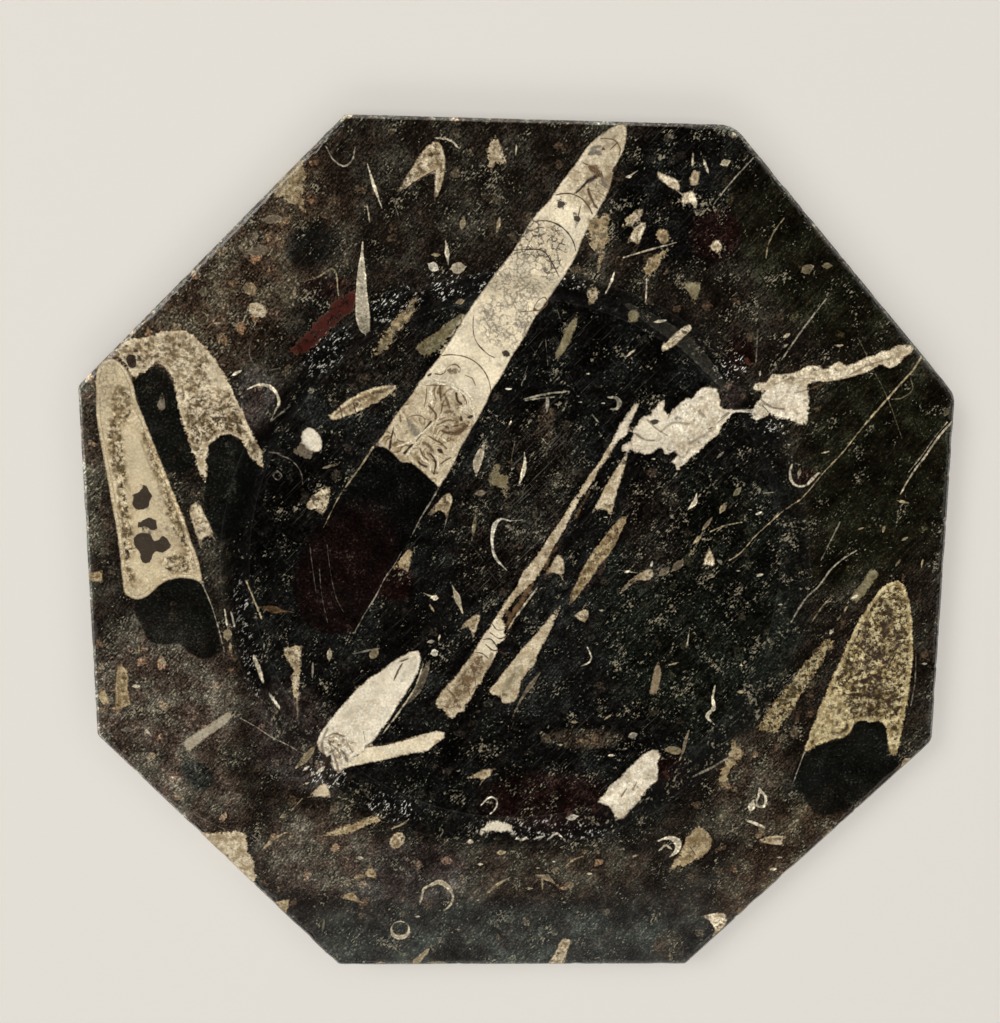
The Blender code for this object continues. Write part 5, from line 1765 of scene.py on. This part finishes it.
    def calcite(self, spot: Spot, depth: Wire) -> Wire:
        """Builds the calcite that the fossils are made of.

        Args:
            spot: Where the stone is worked out.
            depth: How deep the place lies inside the fossil.

        Returns:
            Its colour.
        """
        bench, at = spot.bench, spot.at
        freckles, veil, folds = bench.split(bench.triple("calcite_habit"))
        wall = bench.number("wall")
        core = 1 - (1 - depth.rise(0.9, 1.6)) * wall
        grain, patchy = spot.grain, spot.middle
        speckle = bench.noise(at, 0.9, 3.0, 0.66)
        colour = bench.triple("calcite_tone").dimmed(0.82 + spot.cluster * 0.62 + (grain - 0.5) * 0.65)
        warm = (1 - patchy).rise(0.40, 0.66)
        colour = colour.under(colour.times((0.78, 0.62, 0.40)), warm * (0.10 + freckles * 0.42).least(0.6))
        hairs = (1 - abs(speckle - 0.5) * 9.0).rise(0.0, 1.0)
        colour = colour.under(self.veil_colour, patchy.rise(0.42, 0.72) * veil * 0.26)
        colour = colour.under(self.veil_colour, hairs * patchy.rise(0.38, 0.54) * veil.rise(0.3, 1.1) * 0.7)
        edges = {"feature": "DISTANCE_TO_EDGE"}
        cells = bench.node("ShaderNodeTexVoronoi", edges, {"Vector": at, "Scale": 0.55})
        crackle = (1 - (cells + (grain - 0.5) * 0.34).rise(0.02, 0.16)) * patchy.rise(0.26, 0.46)
        colour = colour.under(self.crackle_colour, crackle * veil.rise(0.35, 1.1) * 0.85)
        curled = bench.node("ShaderNodeTexNoise", {}, {
            "Vector": at, "Scale": 0.11, "Detail": 1.0, "Roughness": 0.5, "Distortion": 1.6})
        fold = (curled * 5.5 + (patchy - 0.5) * 0.7).maths("FRACT")
        fold = fold.rise(0.0, 0.6) * (1 - fold.rise(0.88, 1.0))
        deep = (1 - spot.cluster).rise(0.34, 0.66)
        colour = colour.under(self.fold_colour, folds * 0.66)
        colour = colour.under(self.crease_colour, (1 - fold) * (0.30 + deep * 0.7) * folds.least(1.0))
        colour = colour.under(self.deep_crease_colour, (1 - fold).rise(0.60, 1.0) * deep * folds * 0.5)
        shade = (patchy - 0.5) * freckles * 1.6 + (grain - 0.5) * (freckles * 1.8 + folds * 0.7)
        colour = colour.dimmed(math.e ** shade.least(0.3))
        mottle = speckle * 0.52 + grain * 0.30 + (1 - patchy) * 0.18 + freckles * 0.02
        inside = depth.rise(0.25, 0.9) * core
        brown = mottle.rise(0.47, 0.62) * inside * freckles.least(0.95) * 0.9
        colour = colour.under(self.mottle_colour, brown)
        black = mottle.rise(0.51, 0.62) * inside * freckles.rise(0.5, 1.4) * 0.9
        colour = colour.under(self.deep_mottle_colour, black)
        dots = (spot.fleck + (patchy - 0.5) * 0.35 + (grain - 0.5) * 0.3) * core
        dots = dots + freckles * 0.16
        brown = dots.rise(0.70, 0.90) * (0.35 + freckles * 0.5).least(0.9)
        colour = colour.under(self.freckle_colour, brown)
        black = dots.rise(0.80, 1.04) * freckles.least(1.0) * 0.85
        colour = colour.under(self.dark_freckle_colour, black)
        line = (1 - abs(depth - 1.1) / 0.26).rise(0.0, 1.0) * wall * patchy.rise(0.36, 0.52)
        colour = colour.under(self.wall_line_colour, line * 0.55)
        return colour.under(self.rim_colour, (1 - depth.rise(-0.05, 0.5)) * 0.6)

    def stroke(self, spot: Spot, name: str, crumble: Wire) -> tuple[Wire, Wire]:
        """Reads one of the drawn lines.

        Args:
            spot: Where the stone is worked out.
            name: Which of the lines that a triangle carries: pale_a, pale_b, dark_a or dark_b.
            crumble: The noise that frays edges.

        Returns:
            How much of its colour shows, and how much darker it is in the middle.
        """
        aside, width, strength = spot.bench.split(spot.bench.triple(name))
        grain, fleck = spot.grain, spot.fleck
        if name.startswith("pale"):
            body = width * (0.55 + width.rise(0.5, 1.2) * 0.45)
            cover = (body - abs(aside) + crumble * 0.09).rise(-0.14, 0.16)
            heart = (body - abs(aside)).rise(0.3, 0.8) * fleck.rise(0.44, 0.60)
            texture = (grain + fleck * 0.6 + width.least(1.3) * 0.10 - 0.15).rise(0.24, 0.52)
            return cover * strength * texture, heart
        soft = (width - abs(aside)) / (width.most(0.0) * 0.85 + 0.10)
        cover = (soft + crumble * 0.38 + 0.12).rise(0.0, 0.85)
        texture = grain * 0.75 + fleck * 0.55 + strength * 0.32 - width.least(2.0) * 0.13 - 0.14
        return cover * texture.rise(0.26, 0.60) * (strength * 1.25).least(1.0), fleck * 0.1

    def gloss(self, spot: Spot, solid: Wire) -> Wire:
        """Builds the roughness, which calcite has a little more of.

        Args:
            spot: Where the stone is worked out.
            solid: Where the calcite is.

        Returns:
            The roughness.
        """
        pits = spot.grain.rise(0.70, 0.80)
        level = spot.bench.number("gloss") + (spot.broad - 0.5) * 0.22
        return (level + solid * 0.05 + pits * 0.15).most(0.05)

    def relief(self, spot: Spot) -> Wire:
        """Builds the little that stands off the polish: open holes and a faint orange peel.

        Args:
            spot: Where the stone is worked out.

        Returns:
            The bent normal.
        """
        hole = spot.bench.number("hole_edge").rise(-0.15, 0.15)
        height = spot.bench.noise(spot.at, 0.05, 1.0) * 0.12 - hole * 0.06
        return spot.bench.node("ShaderNodeBump", {}, {"Strength": 1.0, "Distance": MM, "Height": height})


@dataclass(frozen=True)
class PlainFloor:
    """A smooth pale studio floor. Its half width is in metres."""

    half_width: float = 6.0
    colour: Triple = (0.785, 0.766, 0.732)
    roughness: float = 0.9
    specular: float = 0.2

    def build(self) -> bpy.types.Object:
        """Makes the floor at the plate's underside and marks it as no part of the object."""
        w = self.half_width
        mesh = bpy.data.meshes.new("studio_floor")
        mesh.from_pydata([(-w, -w, 0), (w, -w, 0), (w, w, 0), (-w, w, 0)], [], [(0, 1, 2, 3)])
        finish = bpy.data.materials.new("studio_floor")
        bench = Bench(finish)
        bench.fill(bench.tree.nodes["Principled BSDF"], {
            "Base Color": self.colour, "Roughness": self.roughness, "Specular IOR Level": self.specular})
        mesh.materials.append(finish)
        floor = placed("studio_floor", mesh)
        floor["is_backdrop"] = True
        return floor


@dataclass(frozen=True)
class Softbox:
    """A panel of soft light that faces the plate. One that isn't mirrored doesn't show in the polish."""

    name: str
    place: Triple
    size: tuple[float, float]
    power: float
    colour: Triple = (1.0, 0.97, 0.93)
    aim: Triple = (0.0, 0.0, 0.0)
    mirrored: bool = True

    def build(self) -> bpy.types.Object:
        """Hangs the light."""
        data = bpy.data.lights.new(self.name, "AREA")
        data.shape = "RECTANGLE"
        data.size, data.size_y = self.size
        data.energy = self.power
        data.color = self.colour
        light = placed(self.name, data)
        light.location = self.place
        light.visible_glossy = self.mirrored
        light.rotation_euler = (Vector(self.aim) - Vector(self.place)).to_track_quat("-Z", "Y").to_euler()
        return light


@dataclass(frozen=True)
class Studio:
    """The room round the plate and its lights.

    The room glows all round and is dark above, so that the polish mirrors black. Each of the two ramps says
    between which heights the glow changes, and from what strength to what. They are multiplied.
    """

    horizon: tuple[float, ...] = (0.48, 0.60, 0.08, 0.85)
    zenith: tuple[float, ...] = (0.70, 0.85, 1.0, 0.006)
    glow_colour: Triple = (1.0, 0.965, 0.90)
    lights: tuple[Softbox, ...] = (
        Softbox("key", (-2.0, 1.35, 2.3), (1.2, 1.2), 24.0, (1.0, 0.99, 0.97)),
        Softbox("front", (-0.1, -1.9, 1.75), (2.4, 1.0), 5.0, (0.97, 0.985, 1.0)),
        Softbox("haze", (-0.3, -1.15, 0.95), (1.9, 0.7), 0.5, (1.0, 0.98, 0.95), (0.0, -0.2, 0.0)),
        Softbox("overhead", (0.0, 0.1, 2.6), (1.8, 1.8), 38.0, (1.0, 0.975, 0.94), mirrored=False),
    )

    def build(self) -> None:
        """Sets up the world and the lights."""
        world = bpy.data.worlds.new("studio")
        bench = Bench(world)
        height = bench.split(bench.node("ShaderNodeTexCoord", {}, {}, "Generated"))[2]
        names = ("Value", "From Min", "From Max", "To Min", "To Max")
        smooth = {"interpolation_type": "SMOOTHSTEP"}
        low, high = (
            bench.node("ShaderNodeMapRange", smooth, dict(zip(names, (height, *ramp))))
            for ramp in (self.horizon, self.zenith))
        bench.fill(bench.tree.nodes["Background"], {"Color": self.glow_colour, "Strength": low * high})
        bpy.context.scene.world = world
        bpy.context.scene.view_settings.view_transform = "Standard"
        for light in self.lights:
            light.build()


@dataclass(frozen=True)
class Viewpoint:
    """The camera, with its place in millimetres and the directions of its right, down and depth.

    focal_ratio is its focal length over the longer side of the picture.
    """

    place: Triple = (-19.24, 71.67, 321.72)
    right: Triple = (0.99916, 0.01996, 0.03574)
    down: Triple = (0.01348, -0.98479, 0.17322)
    depth: Triple = (0.03865, -0.17259, -0.98423)
    focal_ratio: float = 1100.0 / 1023.0
    sensor: float = 36.0
    nearest: float = 0.01

    def build(self) -> bpy.types.Object:
        """Sets up the camera and makes it the scene's."""
        data = bpy.data.cameras.new("camera")
        data.sensor_width = self.sensor
        data.lens = self.sensor * self.focal_ratio
        data.clip_start = self.nearest
        camera = placed("camera", data)
        x, y, z = Vector(self.right), -Vector(self.down), -Vector(self.depth)
        turned = Matrix((x, y, z)).transposed().to_4x4()
        camera.matrix_world = Matrix.Translation(Vector(self.place) * MM) @ turned
        bpy.context.scene.camera = camera
        return camera


def main() -> None:
    """Builds the studio and the plate, and keeps the boxes of the plain and the dressed model."""
    logging.basicConfig(level=logging.INFO, format="%(name)s: %(message)s")
    plain_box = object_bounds()
    Viewpoint().build()
    PlainFloor().build()
    Studio().build()
    plate = Plate().build(FACE_DRAWING, BACK_DRAWING)
    plate.data.materials.append(Limestone().material())
    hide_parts("fossil_plate")
    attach(plate, "root")
    bpy.context.view_layer.update()
    boxes = {"cad": plain_box, "visual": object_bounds()}
    boxes = {name: [[float(v) for v in corner] for corner in box] for name, box in boxes.items()}
    LOG.info("boxes: %s", boxes)


if __name__ == "__main__":
    main()
